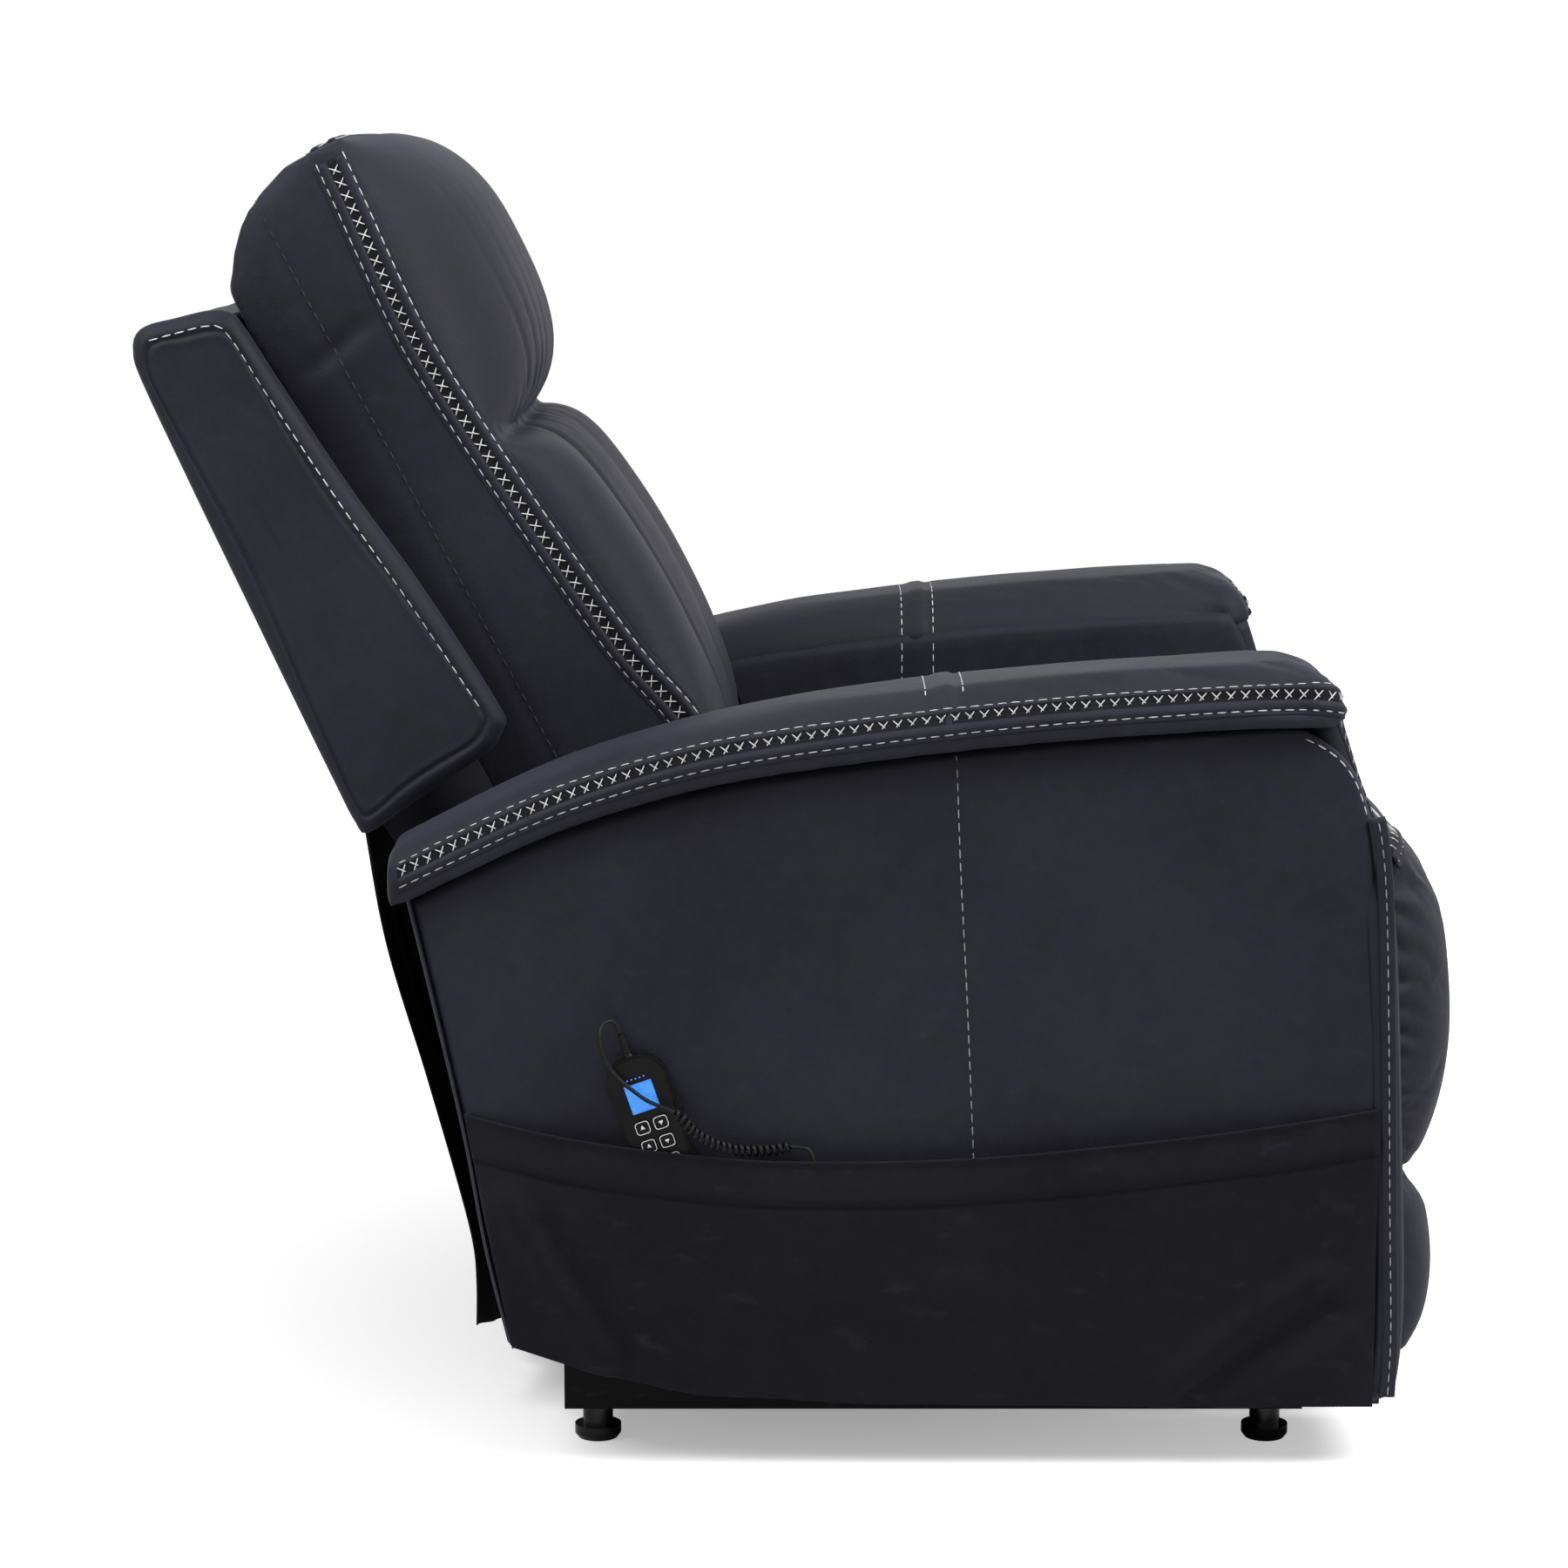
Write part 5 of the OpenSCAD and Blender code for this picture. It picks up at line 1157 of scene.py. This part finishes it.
def dress_inside_back(piece):
    """Seams after the swelling: channel valleys, the pinched seam and its gathers, pleats on the pillow."""
    n, y, s = back_local(coordinates(piece))
    move = -0.004 * groove(np.abs(np.abs(y) - CHANNEL_HALF), 0.007) * (s < PINCH_S) * (n > 0.15)
    near = np.exp(-((s - PINCH_S) / 0.030) ** 2) * (n > 0.12)
    fan = np.sin(2 * math.pi * y / 0.034 + 1.4 * np.sin(9 * y))
    fan *= np.clip(1.4 * ripple(y[:, None], 0.13, 8) + 0.5, 0, 1)
    move += 0.0012 * near * fan
    pleats = sum(np.exp(-((y - at * (1 + 0.9 * (s - 0.50))) / 0.0048) ** 2) for at in PILLOW_PLEATS)
    fade = np.clip((s - 0.484) / 0.02, 0, 1) * np.exp(-np.clip(s - 0.505, 0, 1) / 0.060)
    move -= 0.0038 * pleats * fade * (n > 0.2)
    crease = np.exp(-((s - 0.600 - 0.22 * (n - 0.06)) / 0.008) ** 2) * (np.abs(y) > 0.245)
    move -= 0.0040 * crease * np.exp(-((n - 0.112) / 0.040) ** 4)
    move += 0.0010 * ripple(np.stack([n, y, s], 1), 0.14, 5)
    rear_seam = np.abs(n - REAR_SEAM_N) * (np.abs(y) > 0.24) + (np.abs(y) <= 0.24)
    move -= 0.0016 * np.exp(-(rear_seam / 0.003) ** 2)
    shift_along_normals(piece, move)


def dress_pad(piece, depth, top):
    """Legrest pad: sharp slanting gathers that run forward from the side edges and fade, up to the top, and
    slight unevenness."""
    p = coordinates(piece)
    x, y, z = p.T
    phase = (z + 0.55 * x + 0.010 * np.sin(23 * z) + 0.010 * ripple(p, 0.06, 17) + 0.004 * np.sign(y)) / 0.021
    fold = np.abs(np.sin(math.pi * phase)) ** 0.7 - 0.75
    uneven = 0.70 + 0.90 * ripple(p, 0.05, 14)
    side = np.clip((np.abs(y) - PAD_HALF + 0.060) / 0.05, 0, 1)
    reach = np.exp(-np.maximum(0, (x - 0.512) / 0.028) ** 2) * np.clip((x - PAD_BACK - 0.015) / 0.01, 0, 1)
    move = depth * fold * uneven * side * reach * np.clip((top - z) / 0.03, 0, 1)
    move += 0.001 * ripple(p, 0.12, 4)
    shift_along_normals(piece, move)


TAPE_X = 0.106
TAPE_ROWS = ((-0.0155, "rear"), (0.0155, "front"))


def dress_cap(piece, side):
    """Arm cap: the taped seam across its top, and slight unevenness."""
    p = coordinates(piece)
    over = p[:, 2] - arm_under(p[:, 0])
    tape = np.abs(p[:, 0] - TAPE_X)
    move = 0.0016 * np.exp(-(tape / 0.009) ** 6) - 0.0018 * np.exp(-((tape - 0.0115) / 0.002) ** 2)
    move += 0.0007 * ripple(p, 0.11, 6 + side)
    shift_along_normals(piece, np.where(over > 0.008, move, 0))


def dress_seat(piece):
    """Seat: a seam round the front lip and slight unevenness."""
    p = coordinates(piece)
    move = -0.003 * groove(np.abs(p[:, 0] - SEAT_SEAM_X), 0.004) * (p[:, 2] > 0.47)
    move += 0.0012 * ripple(p, 0.15, 11) * (p[:, 2] > 0.45)
    shift_along_normals(piece, move)


dress_inside_back(PADS["inside_back"])
dress_seat(PADS["seat_pad"])
for side, label in SIDES:
    dress_cap(PADS[f"arm_cap_pad_{label}"], side)
dress_pad(PADS["legrest_pad_upper"], 0.0120, 0.495)
dress_pad(PADS["legrest_pad_lower"], 0.0030, 0.210)
for name, (*rest, fill, body, stands_for) in PAD_TABLE.items():
    subdivide(PADS[name])
    if body:
        upholster(PADS[name], body, stands_for)

# Places that rays start from, clear of the pieces they meet
BESIDE_BACK = 0.33
ABOVE_BACK = 0.82
BEHIND_BACK = -0.2
BESIDE_WINGS = 0.4
BESIDE_ARMS = 0.5
BETWEEN_ARMS = 0.2
BEFORE_ARMS = 0.60
ABOVE_CAPS = 0.76
STRIP_END = 0.238
STRIP_REACH = 0.09


def bend_with_head(piece):
    """Bakes a piece's placement into its mesh. It finds the ends of the span over the pinched seam, between
    the back and the tilting headrest, but bends nothing.
    """
    start, end = (tuple(back_point(BEND_N, 0, s)) for s in (BEND_FROM, BEND_TO))
    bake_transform(piece)


def back_stitching():
    """Sewn strips down both edges of the inside back and over the pillow's top, and a dark row along its
    boxed sides."""
    back = PADS["inside_back"]
    s = np.linspace(0.122, 0.752, 190)[:, None]
    for side, label in SIDES:
        inward = np.array([0, -side, 0.0])
        places = back_point(reading(STRIP, s[:, 0])[:, None] + STRIP_ACROSS, side * BESIDE_BACK, s)
        strip(f"back_strip_{label}", back, places, inward, STRIP_REACH, bend_with_head)
        line = back_point(REAR_SEAM_N + 0.003, side * BESIDE_BACK, s[:, 0])
        bend_with_head(dashes(f"back_side_stitch_{label}", back, line, inward, THREAD_DARK))
    y = np.linspace(-STRIP_END, STRIP_END, 90)[:, None]
    places = back_point(TOP_STRIP_N + STRIP_ACROSS[None], y, ABOVE_BACK)
    down = back_point(0, 0, 0) - back_point(0, 0, 1)
    strip("back_strip_top", back, places, down, STRIP_REACH, bend_with_head)


def legrest_strip():
    """Strip across the top front edge of the upper pad."""
    y = np.linspace(-STRIP_END, STRIP_END, 110)[:, None]
    up = np.array([-LEG_STRIP_SLOPE[1], 0, LEG_STRIP_SLOPE[0]])
    x, z = (at + STRIP_ACROSS * slope for at, slope in zip(LEG_STRIP_AT, LEG_STRIP_SLOPE))
    places = np.stack(np.broadcast_arrays(x, y, z), axis=-1) + 0.06 * up
    strip("legrest_strip", PADS["legrest_pad_upper"], places, -up, 0.085,
          lambda piece: upholster(piece, "legrest_pad"))


legrest_strip()
back_stitching()
bend_with_head(PADS["inside_back"])
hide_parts("back_cushion", "headrest_pillow")


WELT_TOP = 0.560
WELT_FOOT = 0.060
WELT_WIDE, WELT_HIGH = 0.0135, 0.0032
FRONT_STRIP = [(0.075, 0.384), (0.520, 0.384), (0.630, 0.392)]
CAP_SIDE = 0.030
CAP_ROUND = 0.018
STRIP_UP = 0.027
TURN_X = 0.397
TURN_R = 0.045
TURN_DROP = 0.009


def cap_strip(side, label, cap):
    """Strip along the cap's outer edge: stations along the arm, then a quarter turn that drops a little and a
    straight stretch over the nose; across, the section climbs the side and goes over a rounded shoulder."""
    straight, bend, nose = 190, 40, 40
    x = np.concatenate([np.linspace(CAP_TAIL_X, TURN_X, straight), np.full(bend + nose, TURN_X)])
    turn = np.concatenate([np.zeros(straight), np.linspace(0, math.pi / 2, bend + 1)[1:],
                           np.full(nose, math.pi / 2)])
    y = np.concatenate([np.full(straight + bend, CAP_OUT - TURN_R),
                        np.linspace(CAP_OUT - TURN_R, CAP_IN + 0.034, nose + 1)[1:]])
    way = np.stack([np.sin(turn), side * np.cos(turn), 0 * turn], axis=1)
    base = np.stack([x, side * y, arm_under(x)], axis=1)
    base += (TURN_R - CAP_SIDE - 0.003) * way
    base[:, 2] -= TURN_DROP * np.sin(turn) ** 3
    q = STRIP_UP + STRIP_ACROSS
    lean = np.maximum(0, (q - CAP_SIDE) / CAP_ROUND)[None, :, None]
    up = np.array([0, 0, 1.0])
    normal = np.cos(lean) * way[:, None] + np.sin(lean) * up
    reach = (CAP_SIDE - CAP_ROUND) * way[:, None] + np.minimum(q, CAP_SIDE)[None, :, None] * up
    places = base[:, None] + reach + (CAP_ROUND + 0.04) * normal
    strip(f"arm_cap_strip_{label}", cap, places, -normal, STRIP_REACH, on_chair)


def arm_covers(side, label):
    """Outer panel and front of one arm."""
    outer = arm_outer_panel(side, f"arm_outer_cover_{label}", side < 0)
    on_chair(outer, f"arm_outer_panel_{label}")
    front = arm_front(side, f"arm_front_cover_{label}")
    on_chair(front, f"arm_front_panel_{label}")
    return outer, front


def beside(line, shift, y):
    """A line in the arm's plane, shifted in it, at a distance to the side."""
    return np.stack([line[:, 0] + shift[0], np.full(len(line), y), line[:, 1] + shift[1]], axis=1)


def arm(side, label):
    """One arm's covers, welt, cap strip, front strip and stitching."""
    outer, front = arm_covers(side, label)
    inward = np.array([0, -side, 0.0])
    welt = spline(WELT, 160)
    low = welt[:, 1] < WELT_TOP
    line = beside(welt, (0.004, 0), side * (ARM_OUT - 0.0012))[low & (welt[:, 1] > WELT_FOOT)]
    normal = np.broadcast_to(-inward, line.shape)
    on_chair(band(f"arm_welt_{label}", line, normal, WELT_WIDE, WELT_HIGH, LEATHER))
    on_chair(running(f"arm_welt_stitch_{label}", line + 0.0034 * normal, normal, THREAD_GREY))
    line = beside(welt, (-0.003, -0.003), side * BESIDE_ARMS)[~low]
    on_chair(dashes(f"arm_shoulder_stitch_{label}", outer, line, inward))
    line = beside(spline(PANEL_SEAM, 60), (0.006, 0), side * BESIDE_ARMS)
    on_chair(dashes(f"arm_panel_stitch_{label}", outer, line, inward, THREAD_GREY))
    cap = PADS[f"arm_cap_pad_{label}"]
    cap_strip(side, label, cap)
    z = np.linspace(0.075, 0.637, 150)[:, None]
    middle = np.interp(z, *np.array(FRONT_STRIP).T)
    places = np.stack(np.broadcast_arrays(BEFORE_ARMS, side * (middle + STRIP_ACROSS), z), axis=-1)
    strip(f"arm_front_strip_{label}", front, places, (-1, 0, 0), 0.19, on_chair)
    y = side * np.linspace(CAP_IN + 0.004, CAP_OUT - 0.026, 40)
    for shift, kind in TAPE_ROWS:
        line = np.stack(np.broadcast_arrays(TAPE_X + shift, y, ABOVE_CAPS), axis=1)
        on_chair(dashes(f"arm_top_{kind}_stitch_{label}", cap, line, np.array([0, 0, -1.0])))


for side, label in SIDES:
    arm(side, label)

# Outside of the back: wings, rear panel and dust cloth

WING_OUTLINE = [(-0.060, 0.238), (-0.020, 0.242), (0.030, 0.247), (0.068, 0.252), (0.085, 0.262),
                (0.091, 0.280), (0.082, 0.400), (0.069, 0.500), (0.060, 0.600), (0.055, 0.664),
                (0.050, 0.680), (0.036, 0.689), (0.006, 0.697), (-0.014, 0.702), (-0.027, 0.700),
                (-0.036, 0.689), (-0.042, 0.664), (-0.049, 0.560), (-0.057, 0.420), (-0.064, 0.290),
                (-0.065, 0.252)]
WING_STITCH = [(-0.020, 0.6895), (0.006, 0.6835), (0.032, 0.676), (0.042, 0.662), (0.047, 0.600),
               (0.056, 0.500), (0.067, 0.400), (0.077, 0.288)]
WING_ROUND = 0.013
WING_SEAM = 0.0175
OUTSIDE_BACK = [(-0.062, 0.252), (-0.051, 0.456), (-0.041, 0.655), (-0.036, 0.680), (-0.024, 0.694),
                (-0.006, 0.696), (0.010, 0.690), (0.027, 0.681)]


def closed_spline(points, count):
    """Smooth closed curve through the points."""
    p = list(points)
    line = spline(p[-3:] + p + p[:3], 60 * len(p))
    start = np.argmin(np.linalg.norm(line[:len(line) // 2] - p[0], axis=1))
    tail = np.linalg.norm(line - p[0], axis=1)
    tail[:len(line) // 2] = 9
    return resample(np.vstack([line[start:np.argmin(tail)], p[0]]), count + 1)[:-1]


def wing(side, label):
    """Side wing: rings shrink from its outline to its middle, rounded at the border, slightly domed, with a
    sewn line inside the edge; its inner face is rounded at the border too."""
    rim = closed_spline(WING_OUTLINE, 220)
    t = (np.linspace(0.02, 0.98, 44) ** 0.55)[:, None, None]
    spine = np.array([0.5 * (rim[:, 0].max() + rim[:, 0].min()) - 0.012, 0.48])
    heart = spine + (rim - spine) * np.array([0.0, 0.62])
    flat = heart + (rim - heart) * t
    inset = np.linalg.norm(rim - heart, axis=1)[None] * (1 - t[..., 0])
    r = WING_ROUND
    sink = r - np.sqrt(np.maximum(0, r ** 2 - np.maximum(0, r - inset) ** 2))
    dome = 0.002 * (1 - t[..., 0] ** 4)
    seam = -0.0016 * groove(np.abs(inset - WING_SEAM), 0.0022)
    outer = WING_OUT - 0.0022 - sink + dome + seam + 0.0007 * ripple(flat, 0.12, 21)
    inner = WING_IN + 0.002 + sink
    n, s = (np.concatenate([flat[..., k], flat[::-1, :, k]]) for k in (0, 1))
    y = side * np.concatenate([outer, inner[::-1]])
    piece = loft(f"wing_{label}", back_point(n, y, s), LEATHER)
    upholster(piece, "back", f"back_wing_{label}")
    front = spline(WING_STITCH, 120)
    line = back_point(front[:, 0], side * BESIDE_WINGS, front[:, 1])
    upholster(dashes(f"wing_stitch_{label}", piece, line, np.array([0, -side, 0.0])), "back")


def outside_back():
    """Rear panel: a line that leans with the back and turns over at its top, carried across between the
    wings and slightly domed, with a seam near each side."""
    line = spline(OUTSIDE_BACK, 120)
    d = directions(line)
    y = ((2 * crowded(90) - 1) * (WING_IN - 0.001))[:, None]
    v = np.linspace(0, 1, 120)[None]
    out = 0.005 * (1 - (y / WING_IN) ** 4) * np.sin(math.pi * np.minimum(1, 1.15 * v))
    out -= 0.002 * groove(np.abs(np.abs(y) - 0.268), 0.0028)
    out += 0.001 * ripple(np.stack(np.broadcast_arrays(y, v), axis=-1), 0.2, 31)
    place = lambda o: back_point(line[:, 0] - d[:, 1] * o, y, line[:, 1] + d[:, 0] * o)
    piece = closed_sheet("outside_back_cover", place(out), place(-0.010), LEATHER)
    upholster(piece, "back", "outside_back_panel")
    s = np.linspace(0.27, 0.672, 90)
    forward = back_point(1.0, 0, 0.0) - back_point(0.0, 0, 0.0)
    for side, label in SIDES:
        line = back_point(BEHIND_BACK, side * 0.262, s)
        upholster(dashes(f"outside_back_stitch_{label}", piece, line, forward), "back")


def back_side(side, label):
    """Cover over the side of the back's frame, which closes the gap between wing and pillow: a box that
    narrows below the wing and is cut off at its top along the wing's. Its darker leather is painted shade in
    that gap."""
    s = np.concatenate([np.linspace(0.030, 0.250, 24), np.linspace(0.272, 0.690, 40)])
    low = s < 0.26
    rear_low = np.interp(s, [0.03, 0.25], [-0.030, -0.056])
    rear = np.where(low, rear_low, np.interp(s, [0.26, 0.69], [-0.050, -0.030]))
    outer = np.where(low, 0.268, 0.2985)
    front = np.full(len(s), 0.045)
    inner = np.full(len(s), 0.2605)
    n = np.stack([rear, front, front, rear], axis=1)
    y = side * np.stack([inner, inner, outer, outer], axis=1)
    up = np.minimum(s[:, None], np.array([0.693, 0.674, 0.674, 0.693]))
    up += 0.0002 * np.arange(len(s))[:, None] / len(s)
    # The darker leather paints the shade in the gap between wing and pillow
    upholster(loft(f"back_side_cover_{label}", back_point(n, y, up), LEATHER_DARK_AND_SHADE), "back")


for make in (wing, back_side):
    for side, label in SIDES:
        make(side, label)
outside_back()

CLOTH_LINE = [(-0.3855, 0.538), (-0.366, 0.423), (-0.330, 0.300), (-0.301, 0.198), (-0.287, 0.140),
              (-0.283, 0.100), (-0.282, 0.056)]
CLOTH_HALF = 0.2735
CLOTH_GRID = (70, 120)
CLOTH_T = 0.0012


def dust_cloth():
    """Hanging cloth: the photographed side line carried across the chair, with folds that deepen towards its
    free hem, which hangs a little lower at the right corner."""
    line = spline(CLOTH_LINE, CLOTH_GRID[0])
    y = np.linspace(-CLOTH_HALF, CLOTH_HALF, CLOTH_GRID[1])[None]
    v = np.linspace(0, 1, CLOTH_GRID[0])[:, None]
    fold = 0.007 * v ** 1.5 * np.sin(3 * math.pi * y / CLOTH_HALF + 0.7 + 0.5 * v)
    fold += 0.003 * v * np.sin(7.3 * math.pi * y / CLOTH_HALF + 2.0 * v)
    x = line[:, :1] - 0.004 + fold
    rise = 0.030 * v ** 3 * (0.5 + 0.5 * np.sin(4.3 * y / CLOTH_HALF + 0.4))
    sheet = np.stack(np.broadcast_arrays(x, y, line[:, 1:] + rise), axis=-1)
    piece = add_piece("dust_cloth", sheet, quads(*CLOTH_GRID), DUST_CLOTH, False)
    thicken(piece, CLOTH_T)
    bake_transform(piece)
    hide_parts("rear_dust_cloth")


dust_cloth()


# Side pocket

POCKET_FOLDS = [([(-0.256, 0.232), (-0.214, 0.160), (-0.178, 0.100)], 0.0085, 0.018),
                ([(-0.222, 0.214), (-0.176, 0.138), (-0.150, 0.102)], -0.0060, 0.012),
                ([(-0.200, 0.214), (-0.150, 0.140), (-0.122, 0.092)], 0.0050, 0.020),
                ([(0.420, 0.170), (0.352, 0.122), (0.300, 0.072)], 0.0070, 0.013),
                ([(0.430, 0.142), (0.372, 0.106), (0.318, 0.064)], -0.0062, 0.009),
                ([(0.448, 0.118), (0.402, 0.088), (0.350, 0.058)], 0.0048, 0.012)]
POCKET_BAND = 0.036
POCKET_GAP = 0.019
POCKET_GRID = (170, 80)
POCKET_T = 0.0022


def pocket():
    """Pocket on the right arm: a sheet from its curved elastic top to the hem that stands off the panel at
    its mouth, with a hem band, and drape folds that run to its lower corners."""
    top = spline(POCKET_TOP, POCKET_GRID[0])
    t = crowded(POCKET_GRID[1], 0.5)[None]
    slide = np.where(top[:, 0] < -0.18, (-0.18 - top[:, 0]) / 0.113, 0)[:, None]
    x = top[:, :1] + 0.038 * slide * t
    hem = np.interp(x, *np.asarray(ARM_HEM).T) + 0.003
    z = top[:, 1:] + t * (hem - top[:, 1:])
    along = 2 * (top[:, :1] - top[0, 0]) / (top[-1, 0] - top[0, 0]) - 1
    out = 0.0012 + POCKET_GAP * (1 - t ** 2) * (1 - np.abs(along) ** 6)
    at = np.stack([x, z], axis=-1).reshape(-1, 2)
    drop = top[:, 1:] - z
    out += 0.0022 * np.exp(-(drop / 0.0042) ** 2) - 0.0024 * np.exp(-(drop / 0.020) ** 2)
    out += 0.0026 * np.clip(drop / POCKET_BAND, 0, 1) / (1 + np.exp((drop - POCKET_BAND) / 0.0010))
    out -= 0.0020 * np.exp(-((drop - POCKET_BAND - 0.003) / 0.0026) ** 2)
    for line, height, width in POCKET_FOLDS:
        d = distance(at, spline(line, 30)).reshape(x.shape)
        out = out + height * np.exp(-(d / width) ** 2)
    out += 0.0010 * ripple(at, 0.09, 41).reshape(x.shape) * np.clip(drop / 0.05, 0, 1)
    y = -(ARM_OUT + np.maximum(out, 0.0011))
    sheet = np.stack(np.broadcast_arrays(x, y, z), axis=-1)
    piece = add_piece("arm_pocket", sheet, quads(*POCKET_GRID), LEATHER_DARK_AND_SHADE, False)
    thicken(piece, POCKET_T)
    on_chair(piece, "side_pocket")


pocket()


# Covers that close the arms inside and behind

LINING_LOW = 0.36
REAR_ROWS = 60
REAR_LONG = 0.40


def arm_lining(side, label):
    """Thin leather over the inner board above the seat, with the tape's stitching."""
    x = np.linspace(-0.285, 0.452, 60)
    high = np.minimum(arm_under(x) + 0.012, np.interp(x, [0.40, 0.452], [0.70, 0.555]))[:, None]
    z = LINING_LOW + np.linspace(0, 1, 30)[None] * (high - LINING_LOW)
    flat = np.stack([np.broadcast_to(x[:, None], z.shape), z], axis=-1)
    out = 0.0052 - 0.0030 * np.clip((z - high + 0.014) / 0.014, 0, 1) ** 2 + 0.0005 * ripple(flat, 0.15, 51)
    place = lambda a, b, o: np.stack([a, side * (ARM_IN - 0.0003 - o), b], axis=-1)
    cover = on_chair(panel(f"arm_inner_cover_{label}", flat, out, 0.0, place, LEATHER))
    z = np.linspace(0.53, arm_under(TAPE_X) + 0.010, 24)
    for shift, kind in TAPE_ROWS:
        line = np.stack(np.broadcast_arrays(TAPE_X + shift, side * BETWEEN_ARMS, z), axis=1)
        on_chair(dashes(f"arm_inner_{kind}_stitch_{label}", cover, line, np.array([0, side, 0.0])))


def arm_rear(side, label):
    """Leather over the closing board behind the arm: a rounded panel carried down the arm's rear line."""
    rear = spline(ARM_REAR, REAR_ROWS)
    d = directions(rear)
    n = np.stack([-d[:, 1], d[:, 0]], axis=1)
    y = np.linspace(ARM_IN + 0.002, ARM_OUT - 0.003, 24)
    share = np.linspace(0, 1, REAR_ROWS)[:, None]
    flat = np.stack(np.broadcast_arrays(share * REAR_LONG, y[None]), axis=-1)
    dome = 0.002 * np.sin(math.pi * (y - ARM_IN) / (ARM_OUT - ARM_IN))[None]
    out = 0.0035 - np.minimum(border_sink(flat, 0.005), 0.003) + dome

    def behind(a, yy, o):
        """Points a along the rear line, at a height o off it."""
        row = a / REAR_LONG * (REAR_ROWS - 1)
        pick = lambda v: np.interp(row, np.arange(REAR_ROWS), v)
        x, z = (pick(rear[:, k]) + pick(n[:, k]) * o for k in (0, 1))
        return np.stack([x, side * yy, z], -1)

    on_chair(panel(f"arm_rear_cover_{label}", flat, out, -0.0004, behind, LEATHER))


for side, label in SIDES:
    arm_lining(side, label)
    arm_rear(side, label)


# Floor and light

FLOOR_HALF = 6.0
WORLD_FILL = 0.16


def floor():
    """Pale floor that keeps the chair's shadow and rises to white for the camera further off."""
    corners = FLOOR_HALF * np.array([[-1, -1, 0], [1, -1, 0], [1, 1, 0], [-1, 1, 0]])
    piece = add_piece("floor", corners, [[0, 1, 2, 3]], None, False)
    material, tree, shader, at = finish("floor_white", Roughness=0.9, Specular_IOR_Level=0.0)
    tone = place_group(tree, MOTTLE, at, Dark=(0.78, 0.78, 0.78, 1), Light=(0.8, 0.8, 0.8, 1), Scale=0.5)
    tree.links.new(tone.outputs["Color"], shader.inputs["Base Color"])
    far = node(tree, "VectorMath", {0: at}, operation="LENGTH").outputs["Value"]
    rise = node(tree, "MapRange", {"Value": far}, From_Min=0.25, From_Max=1.5, To_Min=0.33, To_Max=1.0)
    lift = tree.nodes.new("ShaderNodeEmission")
    path = tree.nodes.new("ShaderNodeLightPath")
    strength = math_node(tree, "MULTIPLY", path.outputs["Is Camera Ray"], rise.outputs[0])
    tree.links.new(strength, lift.inputs["Strength"])
    both = tree.nodes.new("ShaderNodeAddShader")
    tree.links.new(shader.outputs[0], both.inputs[0])
    tree.links.new(lift.outputs[0], both.inputs[1])
    tree.links.new(both.outputs[0], tree.nodes["Material Output"].inputs["Surface"])
    piece.data.materials.append(material)


def lamp(name, at, aim, size, power):
    """Soft square lamp that points at a place."""
    data = bpy.data.lights.new(name, "AREA")
    data.size = size
    data.energy = power
    obj = bpy.data.objects.new(name, data)
    obj.location = at
    obj.visible_camera = False
    way = np.array(aim) - np.array(at)
    flat = math.hypot(way[0], way[1])
    obj.rotation_euler = (math.atan2(flat, -way[2]), 0, math.atan2(way[1], way[0]) - math.pi / 2)
    bpy.context.scene.collection.objects.link(obj)


def studio():
    """White surroundings for the camera and for reflections, a dimmer fill for the rest, and three soft
    lamps."""
    world = bpy.data.worlds.new("studio")
    bpy.context.scene.world = world
    world.use_nodes = True
    tree = world.node_tree
    back = tree.nodes["Background"]
    path = tree.nodes.new("ShaderNodeLightPath").outputs
    seen = math_node(tree, "MAXIMUM", path["Is Camera Ray"], path["Is Glossy Ray"])
    seen = math_node(tree, "MAXIMUM", seen, path["Is Transmission Ray"])
    back.inputs["Color"].default_value = (1, 1, 1, 1)
    strength = math_node(tree, "ADD", math_node(tree, "MULTIPLY", seen, 1 - WORLD_FILL), WORLD_FILL)
    tree.links.new(strength, back.inputs["Strength"])
    lamp("lamp_top", (0.2, -0.9, 3.0), (0.1, 0.1, 0.5), 2.4, 14)
    lamp("lamp_front", (1.9, -1.0, 2.6), (0.0, 0.0, 0.7), 1.6, 86)
    lamp("lamp_side", (-2.0, -1.6, 2.9), (-0.3, -0.3, 0.7), 1.6, 92)


floor()
studio()
bpy.context.scene.view_settings.view_transform = "Standard"
